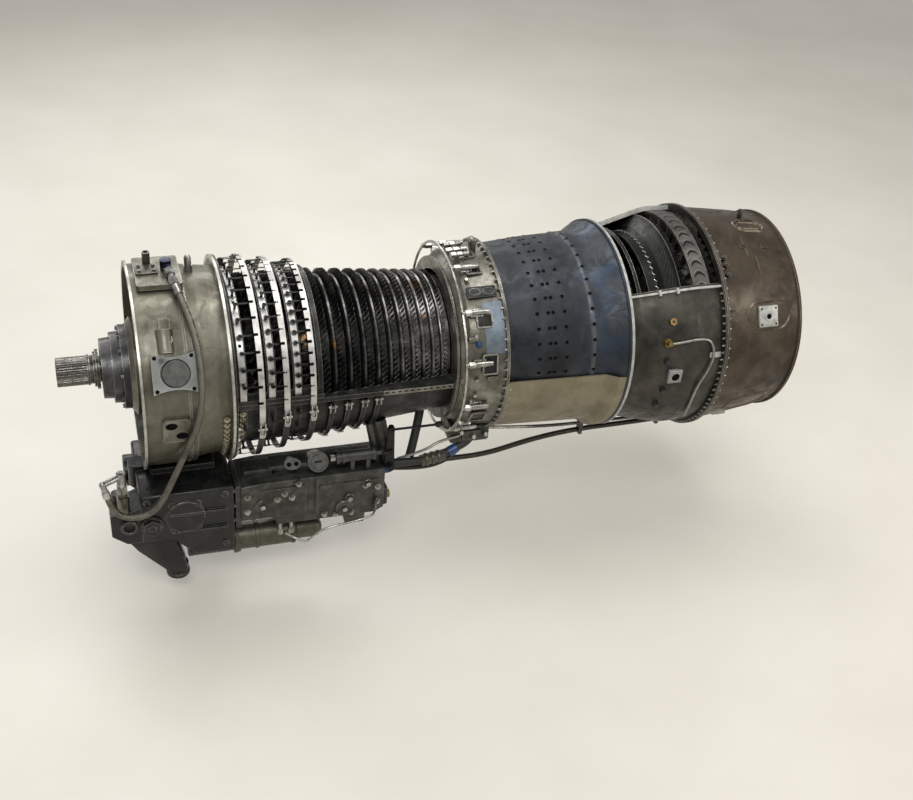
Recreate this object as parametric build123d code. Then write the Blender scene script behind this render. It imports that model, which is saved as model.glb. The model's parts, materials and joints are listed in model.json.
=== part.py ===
from build123d import *
import os
from math import cos, pi, radians, sin, tan

os.makedirs("parts", exist_ok=True)

# Sectioned turboshaft engine, millimetres. +X runs aft along the shaft, +Z is up and the
# near side faces -Y. The origin is the shaft centre at the front face of the inlet frame.
# Angles round the engine are degrees above the near horizontal.

# Lengths along the shaft, front to rear
SHAFT_STICKOUT = 192.0
FRAME_LENGTH = 225.0
COMPRESSOR_LENGTH = 592.0
MAIN_FRAME_LENGTH = 133.0
COMBUSTOR_LENGTH = 339.0
TURBINE_LENGTH = 273.0
EXHAUST_LENGTH = 253.0

# Outer radii
FRONT_FLANGE_R = 273.0
FRAME_R = 264.0
FRAME_NECK_R = 247.0
STAGE_CASE_R = 226.0
SPLIT_FLANGE_R = 240.0
MAIN_FRONT_R = 227.0
MAIN_BELLY_R = 251.0
MAIN_REAR_R = 269.0
LINER_FRONT_R = 253.0
LINER_REAR_R = 268.0
LINER_FLANGE_R = 298.0
TURBINE_FRONT_R = 268.0
TURBINE_REAR_R = 312.0
EXHAUST_FRONT_R = 314.0
EXHAUST_RIM_R = 293.0

# Walls, rims and running gaps
REAR_FLANGE_HEIGHT = 12.0
CASE_WALL = 5.0
FRAME_WALL = 7.0
LINER_WALL = 3.0
RIM = 6.0
SPLIT_BAR = 13.0
TIP_GAP = 3.0
BEARING_GAP = 0.05
RING_GAP = 0.5
SEAT_GAP = 0.3

# Inlet hub, struts and nose
HUB_R = 128.0
HUB_REAR_R = 118.0
STRUT_COUNT = 6
STRUT_CHORD = 84.0
STRUT_THICKNESS = 17.0
RIB_HEIGHT = 2.5
FLANGE_BOLTS = 24
FLANGE_BOLT_R = 3.2
NOSE_R = 78.0
NOSE_STEP_R = 92.0
NOSE_FLANGE_R = 110.0

# Shafts and bearings
POWER_SHAFT_R = 34.0
SPLINE_R = 38.0
SPLINE_LENGTH = 77.0
SPLINE_TEETH = 36
CORE_SHAFT_BORE_R = 42.0
CORE_SHAFT_R = 50.0
BEARING_WIDTH = 22.0
BEARING_R = 72.0

# Compressor: stage tips taper aft over a drum of constant radius
DRUM_R = 180.0
DRUM_WALL = 12.0
FRONT_TIP_R = 221.0
REAR_TIP_R = 190.0
FRONT_BLADES = 26
DRUM_BLADES = 54
FRONT_STAGES = 3
DRUM_STAGES = 11
FRONT_STAGE_PITCH = 67.0
FIRST_STAGE_X = 62.0
DRUM_START = 230.0

# Variable vanes and the rings that turn them: stations aft of the inlet frame
VANE_ROW_X = (25.0, 98.0, 165.0)
RING_X = (67.0, 132.0, 202.0)
RING_R = (268.0, 257.0, 247.0)
STRIP_R = (STAGE_CASE_R + 12.0, STAGE_CASE_R + 8.0, STAGE_CASE_R + 6.0)
RING_WIDTH = 15.0
RING_THICKNESS = 5.0
LEVER_COUNTS = (38, 44, 54)
REAR_RING_X = (254.0, 298.0, 342.0, 380.0)
REAR_RING_R = (237.0, 232.0, 228.0, 225.0)

# Turbines
TURBINE_BLADES = 36
GAS_DISC_R = 195.0
GAS_TIP_R = (232.0, 237.0)
POWER_DISC_R = 226.0
POWER_TIP_R = (292.0, 302.0)
WINDOW_FROM = 46.0
WINDOW_TO = 115.0

# Accessories under the engine
GEARBOX_LENGTH = 250.0
GEARBOX_FRONT = -30.0
GEARBOX_NEAR = -225.0
GEARBOX_FAR = 70.0
GEARBOX_TOP = -282.0
GEARBOX_BOTTOM = -500.0
CONTROL_LENGTH = 392.0
CONTROL_NEAR = -205.0
CONTROL_FAR = -30.0
CONTROL_TOP = -296.0
CONTROL_BOTTOM = -484.0
HOSE_DIAMETER = 17.0

# Stations and one shared radius worked out from the values above
REAR_FLANGE_R = EXHAUST_FRONT_R + REAR_FLANGE_HEIGHT
X_STAGES = FRAME_LENGTH
X_MAIN = X_STAGES + COMPRESSOR_LENGTH
X_LINER = X_MAIN + MAIN_FRAME_LENGTH
X_TURBINE = X_LINER + COMBUSTOR_LENGTH
X_EXHAUST = X_TURBINE + TURBINE_LENGTH
X_RIM = X_EXHAUST + EXHAUST_LENGTH
X_CONTROL = GEARBOX_FRONT + GEARBOX_LENGTH + 15.0


def revolved(points, start=0.0, sweep=360.0):
    """Turn an outline of (x, radius) points about the shaft line."""
    outline = make_face(Polyline(*points, close=True))
    return Rot(start, 0, 0) * revolve(outline, Axis.X, sweep)


def lower_half(points):
    return revolved(points, 180.0, 180.0)


def upper_half(points):
    return revolved(points, 0.0, 180.0)


def sector(x0, x1, r0, r1, low, high):
    """A block of a ring between two angles above the near horizontal."""
    return revolved([(x0, r0), (x1, r0), (x1, r1), (x0, r1)], 180.0 - high, high - low)


def ring(x0, x1, r0, r1):
    return revolved([(x0, r0), (x1, r0), (x1, r1), (x0, r1)])


def around(x, radius, angle):
    """Place on the engine's skin: local Z points outwards and local Y up the near side."""
    return Rot(90.0 - angle, 0, 0) * Pos(x, 0, radius)


def boss(x, angle, r0, r1, radius):
    return around(x, r0, angle) * Cylinder(
        radius, r1 - r0, align=(Align.CENTER, Align.CENTER, Align.MIN)
    )


def hex_boss(x, angle, r0, r1, radius):
    return around(x, r0, angle) * extrude(RegularPolygon(radius, 6), r1 - r0)


def polygon_land(x0, x1, apothem, sides):
    """A many-sided band of the rotor with one flat under each blade."""
    flats = RegularPolygon(apothem, sides, major_radius=False, rotation=90.0 + 180.0 / sides)
    return Pos(x0, 0, 0) * extrude(Plane.YZ * flats, x1 - x0)


def blade_row(x, root_r, tip_r, count, chord, stagger, thickness):
    """Blades of a three-sided section: a flat face and a back that peaks near the nose."""
    section = make_face(
        Polyline((-chord / 2, 0), (chord / 2, 0), (-0.12 * chord, thickness), close=True)
    )
    blade = Pos(x, 0, root_r) * extrude(Rot(0, 0, stagger) * section, tip_r - root_r)
    return [Rot(360.0 / count * i, 0, 0) * blade for i in range(count)]


def tube(points, radius, bend):
    """A rigid pipe: straight runs joined by bends of one radius."""
    path = FilletPolyline(*points, radius=bend)
    return sweep(path.location_at(0) * Circle(radius), path=path)


def between(points, x):
    """Radius at a station of a profile given as (x, radius) points in order."""
    for (xa, ra), (xb, rb) in zip(points, points[1:]):
        if xa <= x <= xb:
            return ra + (rb - ra) * (x - xa) / (xb - xa)
    return points[-1][1] if x > points[-1][0] else points[0][1]


def group(solids):
    return Compound(children=[s for part in solids for s in part.solids()])


# Profiles that several pieces share
TIP_LINE = [
    (X_STAGES, FRONT_TIP_R + 2.0),
    (X_STAGES + DRUM_START, FRONT_TIP_R),
    (X_MAIN - 15.0, REAR_TIP_R),
    (X_MAIN, REAR_TIP_R),
]
CASE_BORE = [(x, r + TIP_GAP) for x, r in TIP_LINE]
CASE_SKIN = [(x, r + TIP_GAP + CASE_WALL) for x, r in TIP_LINE]
TURBINE_SKIN = [
    (X_TURBINE, TURBINE_FRONT_R),
    (X_TURBINE + 40.0, TURBINE_FRONT_R + 7.0),
    (X_TURBINE + 150.0, TURBINE_REAR_R - 8.0),
    (X_TURBINE + 189.0, TURBINE_REAR_R),
    (X_EXHAUST, TURBINE_REAR_R),
]
EXHAUST_SKIN = [
    (X_EXHAUST, EXHAUST_FRONT_R),
    (X_EXHAUST + 56.0, EXHAUST_FRONT_R - 3.0),
    (X_EXHAUST + 106.0, EXHAUST_FRONT_R - 9.0),
    (X_EXHAUST + 172.0, EXHAUST_RIM_R + 4.0),
    (X_EXHAUST + 222.0, EXHAUST_RIM_R - 4.0),
    (X_RIM, EXHAUST_RIM_R - 5.0),
]


def shifted(points, dr):
    return [(x, r + dr) for x, r in points]


def solid_within(points):
    """The full solid of turning under a profile, used to trim what sits on the skin."""
    return revolved([(points[0][0], 0.0), *points, (points[-1][0], 0.0)])


# Front frame and nose
FRAME_SKIN = [
    (0.0, FRAME_R),
    (FRAME_LENGTH - 92.0, FRAME_R),
    (FRAME_LENGTH - 92.0, FRAME_R - 7.0),
    (FRAME_LENGTH - 66.0, FRAME_NECK_R + 4.0),
    (FRAME_LENGTH - 20.0, FRAME_NECK_R),
    (FRAME_LENGTH, FRAME_NECK_R),
]
FRAME_BORE = [
    (0.0, FRAME_R - FRAME_WALL),
    (60.0, FRAME_R - FRAME_WALL - 1.0),
    (FRAME_LENGTH - 92.0, FRAME_R - 2 * FRAME_WALL - 1.0),
    (FRAME_LENGTH, FRONT_TIP_R + 2.0 + TIP_GAP),
]


def frame_envelope():
    """Outside of the front frame with its flanges and rib, to trim what is bolted on."""
    rib = FRAME_LENGTH - 109.0
    return solid_within(
        [
            (-60.0, FRAME_R), (0.0, FRAME_R), (0.0, FRONT_FLANGE_R), (RIM, FRONT_FLANGE_R), (RIM, FRAME_R),
            (rib - 3.0, FRAME_R), (rib - 3.0, FRAME_R + RIB_HEIGHT), (rib + 3.0, FRAME_R + RIB_HEIGHT),
            (rib + 3.0, FRAME_R),
        ]
        + FRAME_SKIN[1:-1]
        + [(FRAME_LENGTH - RIM, FRAME_NECK_R), (FRAME_LENGTH - RIM, FRONT_FLANGE_R + 1.0)]
        + [(FRAME_LENGTH, FRONT_FLANGE_R + 1.0)]
    )


def front_frame():
    barrel = revolved(
        [(0.0, FRONT_FLANGE_R), (RIM, FRONT_FLANGE_R), (RIM, FRAME_R)]
        + FRAME_SKIN[1:-1]
        + [(FRAME_LENGTH - RIM, FRAME_NECK_R), (FRAME_LENGTH - RIM, FRONT_FLANGE_R + 1.0)]
        + [(FRAME_LENGTH, FRONT_FLANGE_R + 1.0)]
        + FRAME_BORE[::-1]
    )
    hub = revolved(
        [
            (-12.0, NOSE_R - 20.0),
            (-12.0, NOSE_FLANGE_R + 3.0),
            (0.0, HUB_R),
            (FRAME_LENGTH, HUB_REAR_R),
            (FRAME_LENGTH, BEARING_R),
            (FRAME_LENGTH - BEARING_WIDTH - 14.0, BEARING_R),
            (FRAME_LENGTH - BEARING_WIDTH - 14.0, HUB_REAR_R - 14.0),
            (0.0, HUB_R - 14.0),
            (0.0, NOSE_R - 20.0),
        ]
    )
    half = STRUT_CHORD / 2
    lens = make_face(
        ThreePointArc((-half, 0), (0, STRUT_THICKNESS / 2), (half, 0))
        + ThreePointArc((half, 0), (0, -STRUT_THICKNESS / 2), (-half, 0))
    )
    strut_x = FRAME_LENGTH - 94.0 - STRUT_CHORD / 2
    root = HUB_REAR_R - 4.0
    strut = Pos(strut_x, 0, root) * extrude(lens, FRAME_R - FRAME_WALL / 2 - root)
    struts = [Rot(360.0 / STRUT_COUNT * i, 0, 0) * strut for i in range(STRUT_COUNT)]
    top_pad = Pos(FRAME_LENGTH / 3, 0, FRAME_R - 4.0) * extrude(
        RectangleRounded(112.0, 150.0, 8.0), 14.0
    )
    rib = ring(FRAME_LENGTH - 112.0, FRAME_LENGTH - 106.0, FRAME_R - 2.0, FRAME_R + RIB_HEIGHT)
    plug = boss(72.0, 44.0, FRAME_R - 3.0, FRAME_R + 9.0, 15.0)
    neck = around(72.0, FRAME_R - 3.0, 52.0) * Box(
        26.0, 34.0, 10.0, align=(Align.CENTER, Align.CENTER, Align.MIN)
    )
    bolt_circle_r = (FRAME_R + FRONT_FLANGE_R) / 2
    bolt_hole = Pos(RIM / 2, 0, bolt_circle_r) * Rot(0, 90, 0) * Cylinder(FLANGE_BOLT_R, 20.0)
    bolt_holes = [Rot(360.0 / FLANGE_BOLTS * (i + 0.5), 0, 0) * bolt_hole for i in range(FLANGE_BOLTS)]
    return barrel + hub + struts + [top_pad, rib, plug, neck] - bolt_holes


def nose_housing():
    shell = revolved(
        [
            (-80.0, POWER_SHAFT_R + 22.0),
            (-80.0, NOSE_R),
            (-54.0, NOSE_R + 2.0),
            (-54.0, NOSE_STEP_R),
            (-30.0, NOSE_STEP_R + 2.0),
            (-30.0, NOSE_FLANGE_R),
            (-12.0, NOSE_FLANGE_R),
            (-12.0, POWER_SHAFT_R + 22.0),
        ]
    )
    nuts = [
        Rot(36.0 * i, 0, 0) * Pos(-30.0, 0, NOSE_FLANGE_R - 8.0) * Rot(0, -90, 0)
        * extrude(RegularPolygon(5.5, 6), 6.0)
        for i in range(10)
    ]
    return shell + nuts


def nose_bearing():
    return ring(-60.0, -60.0 + BEARING_WIDTH, POWER_SHAFT_R + BEARING_GAP, POWER_SHAFT_R + 22.0)


def core_front_bearing():
    x1 = FRAME_LENGTH - 4.0
    return ring(x1 - BEARING_WIDTH, x1, CORE_SHAFT_R + BEARING_GAP, BEARING_R)


def mounting_pad():
    """Side pad with concave upper and lower edges, four holes and a round cover seat."""
    half_x, half_y, waist = 53.0, 50.0, 40.0
    edge = (
        ThreePointArc((-half_x, half_y), (0, waist), (half_x, half_y))
        + Line((half_x, half_y), (half_x, -half_y))
        + ThreePointArc((half_x, -half_y), (0, -waist), (-half_x, -half_y))
        + Line((-half_x, -half_y), (-half_x, half_y))
    )
    plate = extrude(make_face(edge), 30.0)
    holes = [
        Pos(sx * (half_x - 9.0), sy * (half_y - 9.0), 15.0) * Cylinder(4.0, 40.0)
        for sx in (-1, 1)
        for sy in (-1, 1)
    ]
    recess = Pos(0, 0, 30.0) * Cylinder(35.0, 5.0)
    return around(82.0, FRAME_R - 16.0, 26.5) * (plate - holes - recess) - frame_envelope()


def drain_pad():
    plate = extrude(RectangleRounded(70.0, 74.0, 12.0), 20.0)
    ports = [Pos(x, y, 17.0) * Cylinder(11.5, 14.0) for x, y in ((-14.0, 16.0), (13.0, -16.0))]
    return around(79.0, FRAME_R - 14.0, -7.0) * (plate - ports) - frame_envelope()


def top_cover():
    z = FRAME_R + 10.0
    plate = Pos(62.0, -28.0, z) * extrude(RectangleRounded(62.0, 60.0, 6.0), 9.0)
    pipe = Pos(74.0, -14.0, z + 9.0) * Cylinder(9.0, 24.0, align=(Align.CENTER, Align.CENTER, Align.MIN))
    bolts = [
        Pos(62.0 + 24.0 * sx, -28.0 + 22.0 * sy, z + 9.0) * extrude(RegularPolygon(5.0, 6), 4.0)
        for sx in (-1, 1)
        for sy in (-1, 1)
    ]
    return plate + [pipe] + bolts


def pressure_fitting():
    x, angle = FRAME_LENGTH - 54.0, 70.0
    seat = between(FRAME_SKIN, x) - 2.0
    base = hex_boss(x, angle, seat, seat + 12.0, 11.0)
    dome = boss(x, angle, seat + 12.0, seat + 30.0, 6.5)
    return base + dome - frame_envelope()


# Compressor casings, vanes and rings
def split_bars(x0, x1, z0, z1):
    """The two bars of a split flange, one each side, trimmed by the case bore."""
    width = SPLIT_FLANGE_R - REAR_TIP_R + 4.0
    y = SPLIT_FLANGE_R - width / 2
    return [Pos((x0 + x1) / 2, s * y, (z0 + z1) / 2) * Box(x1 - x0, width, z1 - z0) for s in (-1, 1)]


def case_bore():
    return revolved([(X_STAGES - 50.0, 1.0), (X_MAIN + 50.0, 1.0), (X_MAIN + 50.0, CASE_BORE[-1][1])]
                    + CASE_BORE[::-1] + [(X_STAGES - 50.0, CASE_BORE[0][1])])


def stem_strip(row, low, high):
    """Raised band that seats the vane stems of one row."""
    x = X_STAGES + VANE_ROW_X[row]
    return sector(x - 9.0, x + 9.0, between(CASE_BORE, x) + 1.5, STRIP_R[row], low, high)


def lower_case():
    x0, x1 = X_STAGES, X_MAIN
    shell = lower_half(
        [(x0, CASE_SKIN[0][1] - CASE_WALL), (x0, FRONT_FLANGE_R - 1.0), (x0 + RIM, FRONT_FLANGE_R - 1.0),
         (x0 + RIM, CASE_SKIN[0][1])]
        + CASE_SKIN[1:-1]
        + [(x1 - RIM, CASE_SKIN[-1][1]), (x1 - RIM, MAIN_FRONT_R), (x1, MAIN_FRONT_R)]
        + CASE_BORE[::-1]
    )
    bars = [bar - case_bore() for bar in split_bars(x0 + RIM, x1 - RIM, -SPLIT_BAR, 0.0)]
    pitch = 36.0
    count = int((x1 - x0 - DRUM_START - 40.0) / pitch)
    holes = [
        Pos(x0 + DRUM_START + 30.0 + pitch * i, s * (SPLIT_FLANGE_R - 8.0), -SPLIT_BAR / 2)
        * Cylinder(3.6, 2 * SPLIT_BAR)
        for i in range(count)
        for s in (-1, 1)
    ]
    pads = [
        around(x0 + x, between(CASE_SKIN, x0 + x) - 2.0, a)
        * Box(10.0, 16.0, r - RING_THICKNESS - RING_GAP - between(CASE_SKIN, x0 + x) + 2.0,
              align=(Align.CENTER, Align.CENTER, Align.MIN))
        for x, r in zip(REAR_RING_X, REAR_RING_R)
        for a in (-30.0, -60.0, -90.0, -120.0, -150.0)
    ]
    strips = [stem_strip(row, -176.8, -3.2) for row in range(3)]
    return shell + bars + strips + pads - holes


def upper_case():
    """What is left of the upper half: an arched skeleton that carries the vane stems."""
    x0, x1 = X_STAGES, X_STAGES + DRUM_START
    shell = upper_half(
        [(x0, CASE_BORE[0][1]), (x0, FRONT_FLANGE_R - 1.0), (x0 + RIM, FRONT_FLANGE_R - 1.0),
         (x0 + RIM, CASE_SKIN[0][1]), CASE_SKIN[1], (x1, CASE_BORE[1][1])]
    )
    bars = [bar - case_bore() for bar in split_bars(x0 + RIM, x1, 0.0, SPLIT_BAR)]
    strips = [stem_strip(row, 3.2, 176.8) for row in range(3)]
    edges = [x + s * 12.0 for x in VANE_ROW_X for s in (-1, 1)][1:] + [DRUM_START - 12.0]
    windows = [
        sector(x0 + edges[2 * i], x0 + edges[2 * i + 1], 150.0, 280.0, 7.0, 173.0)
        for i in range(3)
    ]
    return shell + bars + strips - windows


def levers(row):
    """Each vane's stem block with the flat lever that reaches under its ring."""
    height = RING_R[row] - RING_THICKNESS - RING_GAP - STRIP_R[row]
    reach = RING_X[row] - VANE_ROW_X[row] + RING_WIDTH / 3
    side = Polyline(
        (-6, 0), (6, 0), (6, height - 2.5), (reach, height - 2.5), (reach, height), (-6, height),
        close=True,
    )
    lever = Pos(0, 4.0, 0) * extrude(Plane.XZ * make_face(side), 8.0)
    count = LEVER_COUNTS[row]
    placed = []
    for i in range(count):
        angle = 360.0 / count * (i + 0.5)
        upper = 5.0 < angle < 175.0
        lower = 185.0 < angle < 355.0
        if upper:
            placed.append(around(X_STAGES + VANE_ROW_X[row], STRIP_R[row], angle) * lever)
        elif lower and i % 2 == 0:
            placed.append(around(X_STAGES + VANE_ROW_X[row], STRIP_R[row], angle) * lever)
    return placed


def variable_vanes():
    rows = []
    for x, count in zip(VANE_ROW_X, (24, 28, 30)):
        station = X_STAGES + x
        tip = between(CASE_BORE, station) - 0.3
        root = between(FRONT_HUB, station) + 4.0
        rows += blade_row(station, root, tip, count, 26.0, 12.0, 4.0)
    return rows


def unison_ring(row, low, high):
    x = X_STAGES + RING_X[row]
    r1 = RING_R[row]
    band = sector(x - RING_WIDTH / 2, x + RING_WIDTH / 2, r1 - RING_THICKNESS, r1, low, high)
    return band


RING_SPLIT = (-13.0, -8.0, -8.0)


def upper_ring(row):
    low = RING_SPLIT[row]
    band = unison_ring(row, low, 180.0 - low)
    x = X_STAGES + RING_X[row]
    r0, r1 = RING_R[row] - RING_THICKNESS / 2, RING_R[row] + 10.0
    ears = []
    for side in (-1, 1):
        xa = x + side * (RING_WIDTH / 2 - 1.5)
        for start, end in ((low, 180.0), (180.0 - low, 0.0)):
            step = 3.5 if end > start else -3.5
            a, b = sorted((start, start + step))
            ears.append(sector(xa - 1.5, xa + 1.5, r0, r1, a, b))
            a, b = sorted((start, start - step))
            ears.append(sector(xa - 1.5, xa + 1.5, RING_R[row], r1, a, b))
    pitch = 360.0 / LEVER_COUNTS[row]
    notch = Box(9.0, 5.0, 30.0)
    notches = [
        around(x - RING_WIDTH / 2, RING_R[row], pitch * (i + 0.5)) * notch
        for i in range(LEVER_COUNTS[row] // 2)
    ]
    return band + ears - notches


def lower_ring(row):
    low = RING_SPLIT[row]
    return unison_ring(row, -180.0 - low + 0.2, low - 0.2)


def rear_rings():
    """Lower halves of the four rear rings, each with a link eye at its near end."""
    solids = []
    for x, r1 in zip(REAR_RING_X, REAR_RING_R):
        station = X_STAGES + x
        band = sector(station - 6.0, station + 6.0, r1 - RING_THICKNESS, r1, -173.5, -6.5)
        eye = around(station, r1 - 2.0, -9.0) * Box(
            10.0, 26.0, 11.0, align=(Align.CENTER, Align.CENTER, Align.MIN)
        )
        solids.append(band + eye)
    return solids


def rear_stator_vanes():
    """Fixed vanes of the lower half, each row hung from its own half band in the case bore."""
    rows = []
    stations = drum_stations()
    for a, b in zip(stations, stations[1:]):
        x = (a + b) / 2
        half = 0.12 * (b - a)
        ra, rb = (between(CASE_BORE, x + dx) - SEAT_GAP for dx in (-half, half))
        band = lower_half([(x - half, ra), (x + half, rb), (x + half, rb - 2.0), (x - half, ra - 2.0)])
        chord = 2 * half
        section = make_face(Polyline((-half, 0), (half, 0), (-0.1 * chord, 2.0), close=True))
        root = DRUM_R + 2.0
        vane = Pos(x, 0, root) * extrude(Rot(0, 0, 20.0) * section, rb - 1.0 - root)
        rows.append(band + [Rot(97.5 + 15.0 * i, 0, 0) * vane for i in range(12)])
    return rows


# Rotors
FRONT_HUB = [
    (X_STAGES, 112.0),
    (X_STAGES + FIRST_STAGE_X, 124.0),
    (X_STAGES + FIRST_STAGE_X + FRONT_STAGE_PITCH, 150.0),
    (X_STAGES + FIRST_STAGE_X + 2 * FRONT_STAGE_PITCH, 168.0),
    (X_STAGES + DRUM_START, DRUM_R),
]


def drum_stations():
    """Stage centres of the drum: the pitch shrinks steadily from front to rear."""
    first, last = X_STAGES + DRUM_START + 14.0, X_MAIN - 20.0
    shrink = 0.94
    steps = DRUM_STAGES - 1
    total = (1 - shrink**steps) / (1 - shrink)
    pitch = (last - first) / total
    return [first + pitch * (1 - shrink**i) / (1 - shrink) for i in range(DRUM_STAGES)]


def front_rotor():
    """Three wide-chord stages on a conical spool."""
    x0 = X_STAGES + FIRST_STAGE_X - 24.0
    x1 = X_STAGES + DRUM_START
    land = 15.0
    stations = [X_STAGES + FIRST_STAGE_X + FRONT_STAGE_PITCH * i for i in range(FRONT_STAGES)]
    spool = revolved(
        [(x0, CORE_SHAFT_R), (x0, 108.0), (stations[0], 118.0), (stations[1], 144.0),
         (stations[2], 162.0), (x1, DRUM_R - 8.0), (x1, DRUM_R - DRUM_WALL - 10.0),
         (stations[2], 148.0), (stations[1], 130.0), (stations[0], 104.0),
         (x0 + 14.0, 92.0), (x0 + 14.0, CORE_SHAFT_R)]
    )
    bodies = []
    for x in stations:
        r = between(FRONT_HUB, x)
        rim = polygon_land(x - land, x + land, r, FRONT_BLADES)
        bodies.append(rim - Pos(x, 0, 0) * Rot(0, 90, 0) * Cylinder(r - 12.0, 3 * land))
        bodies += blade_row(x, r, between(TIP_LINE, x), FRONT_BLADES, 36.0, -38.0, 5.0)
    return spool + bodies


def drum_rotor():
    """Eleven close stages on one many-sided drum with a web at each end."""
    x0, x1 = X_STAGES + DRUM_START, X_MAIN - 6.0
    drum = polygon_land(x0, x1, DRUM_R, DRUM_BLADES)
    length = x1 - x0 - 2 * DRUM_WALL
    bore = Pos((x0 + x1) / 2, 0, 0) * Rot(0, 90, 0) * Cylinder(DRUM_R - DRUM_WALL, length)
    hole = Pos((x0 + x1) / 2, 0, 0) * Rot(0, 90, 0) * Cylinder(CORE_SHAFT_R, x1 - x0 + 20.0)
    stations = drum_stations()
    blades = []
    for i, x in enumerate(stations):
        pitch = stations[i + 1] - x if i + 1 < len(stations) else x - stations[i - 1]
        tip = between(TIP_LINE, x)
        blades += blade_row(x, DRUM_R, tip, DRUM_BLADES, 0.62 * pitch, -40.0, 0.1 * pitch)
    return drum + blades - [bore, hole]


def core_shaft():
    """Hollow shaft of the gas generator with a seat collar behind the turbine discs."""
    x0, x1 = FRAME_LENGTH - 40.0, X_TURBINE + 82.0
    return revolved(
        [(x0, CORE_SHAFT_BORE_R), (x0, CORE_SHAFT_R), (x1 - 10.0, CORE_SHAFT_R),
         (x1 - 10.0, CORE_SHAFT_R + 16.0), (x1, CORE_SHAFT_R + 16.0), (x1, CORE_SHAFT_BORE_R)]
    )


def bladed_disc(x0, x1, bore_r, land_r, tip_r, web, chord, stagger):
    """A turbine disc: broad bore, thin web and a many-sided rim with its blades."""
    mid = (x0 + x1) / 2
    hub = ring(x0, x1, bore_r, bore_r + 26.0)
    web_ring = ring(mid - web / 2, mid + web / 2, bore_r + 20.0, land_r - 6.0)
    opening = Pos(mid, 0, 0) * Rot(0, 90, 0) * Cylinder(land_r - 14.0, 3 * (x1 - x0))
    rim = polygon_land(x0, x1, land_r, TURBINE_BLADES) - opening
    blades = blade_row(mid, land_r, tip_r, TURBINE_BLADES, chord, stagger, 5.0)
    return rim + [hub, web_ring] + blades


def gas_disc(stage):
    x0 = X_TURBINE + (14.0, 51.0)[stage]
    return bladed_disc(x0, x0 + 21.0, CORE_SHAFT_R, GAS_DISC_R, GAS_TIP_R[stage], 9.0, 20.0, 35.0)


def power_disc(stage):
    x0 = X_TURBINE + (161.0, 249.0)[stage]
    return bladed_disc(
        x0, x0 + 22.0, POWER_SHAFT_R, POWER_DISC_R, POWER_TIP_R[stage], 10.0, 26.0, -35.0
    )


def power_shaft():
    """Output shaft: external spline, collars, and the long drive back to the power turbine."""
    x0 = -SHAFT_STICKOUT
    xs = x0 + SPLINE_LENGTH
    x1 = X_EXHAUST + 74.0
    drive = revolved(
        [(xs, 0.0), (xs, SPLINE_R + 2.0), (xs + 6.0, SPLINE_R + 2.0), (xs + 6.0, SPLINE_R - 1.0),
         (xs + 16.0, SPLINE_R - 1.0), (xs + 16.0, 46.0), (xs + 22.0, 46.0), (xs + 22.0, 52.0),
         (xs + 30.0, 52.0), (xs + 30.0, POWER_SHAFT_R), (x1, POWER_SHAFT_R), (x1, 0.0)]
    )
    step = 360.0 / SPLINE_TEETH
    points = []
    for i in range(SPLINE_TEETH):
        for part, radius in ((0.0, SPLINE_R - 2.2), (0.3, SPLINE_R), (0.7, SPLINE_R)):
            a = radians(step * (i + part))
            points.append((radius * cos(a), radius * sin(a)))
    teeth = Pos(x0, 0, 0) * extrude(Plane.YZ * make_face(Polyline(*points, close=True)), SPLINE_LENGTH)
    recess = Pos(x0, 0, 0) * Rot(0, 90, 0) * Cylinder(22.0, 30.0)
    return drive + teeth - recess


# Main frame and combustor
def main_frame():
    x0, x1 = X_MAIN, X_LINER
    wall = FRAME_WALL
    skin = [
        (x0, MAIN_FRONT_R), (x0 + RIM, MAIN_FRONT_R), (x0 + RIM + 2.0, MAIN_FRONT_R - 6.0),
        (x0 + 34.0, MAIN_BELLY_R - 8.0), (x0 + 54.0, MAIN_BELLY_R), (x1 - 22.0, MAIN_BELLY_R + 6.0),
        (x1 - 8.0, MAIN_BELLY_R + 8.0), (x1 - 8.0, MAIN_REAR_R), (x1, MAIN_REAR_R),
    ]
    bore = [
        (x1, MAIN_BELLY_R + 8.0 - wall), (x1 - 22.0, MAIN_BELLY_R + 6.0 - wall),
        (x0 + 54.0, MAIN_BELLY_R - wall), (x0 + 34.0, MAIN_BELLY_R - 8.0 - wall),
        (x0, REAR_TIP_R + TIP_GAP),
    ]
    outer = revolved(skin + bore)
    hub = revolved(
        [(x0, DRUM_R - 16.0), (x0, DRUM_R - 3.0), (x1 - 14.0, DRUM_R - 30.0), (x1 - 14.0, DRUM_R - 44.0),
         (x0 + 76.0, DRUM_R - 36.0), (x0 + 76.0, BEARING_R), (x0 + 62.0, BEARING_R),
         (x0 + 62.0, DRUM_R - 32.0)]
    )
    half = 30.0
    lens = make_face(
        ThreePointArc((-half, 0), (0, 6.0), (half, 0)) + ThreePointArc((half, 0), (0, -6.0), (-half, 0))
    )
    root = DRUM_R - 26.0
    strut = Pos(x0 + 74.0, 0, root) * extrude(lens, MAIN_BELLY_R - wall / 2 - root)
    struts = [Rot(360.0 / STRUT_COUNT * i, 0, 0) * strut for i in range(STRUT_COUNT)]
    return outer + hub + struts


def core_rear_bearing():
    x0 = X_MAIN + 58.0
    return ring(x0, x0 + BEARING_WIDTH, CORE_SHAFT_R + BEARING_GAP, BEARING_R)


LINER_SKIN = [
    (X_LINER, LINER_FRONT_R - 3.0),
    (X_LINER + 50.0, LINER_FRONT_R + 1.0),
    (X_LINER + 148.0, LINER_REAR_R - 6.0),
    (X_LINER + 209.0, LINER_REAR_R - 3.0),
    (X_LINER + 232.0, LINER_REAR_R - 3.0),
    (X_LINER + 240.0, LINER_REAR_R),
    (X_LINER + 250.0, LINER_REAR_R - 2.0),
    (X_LINER + 289.0, LINER_REAR_R + 3.0),
    (X_TURBINE - 20.0, LINER_FLANGE_R - 8.0),
]


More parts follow.
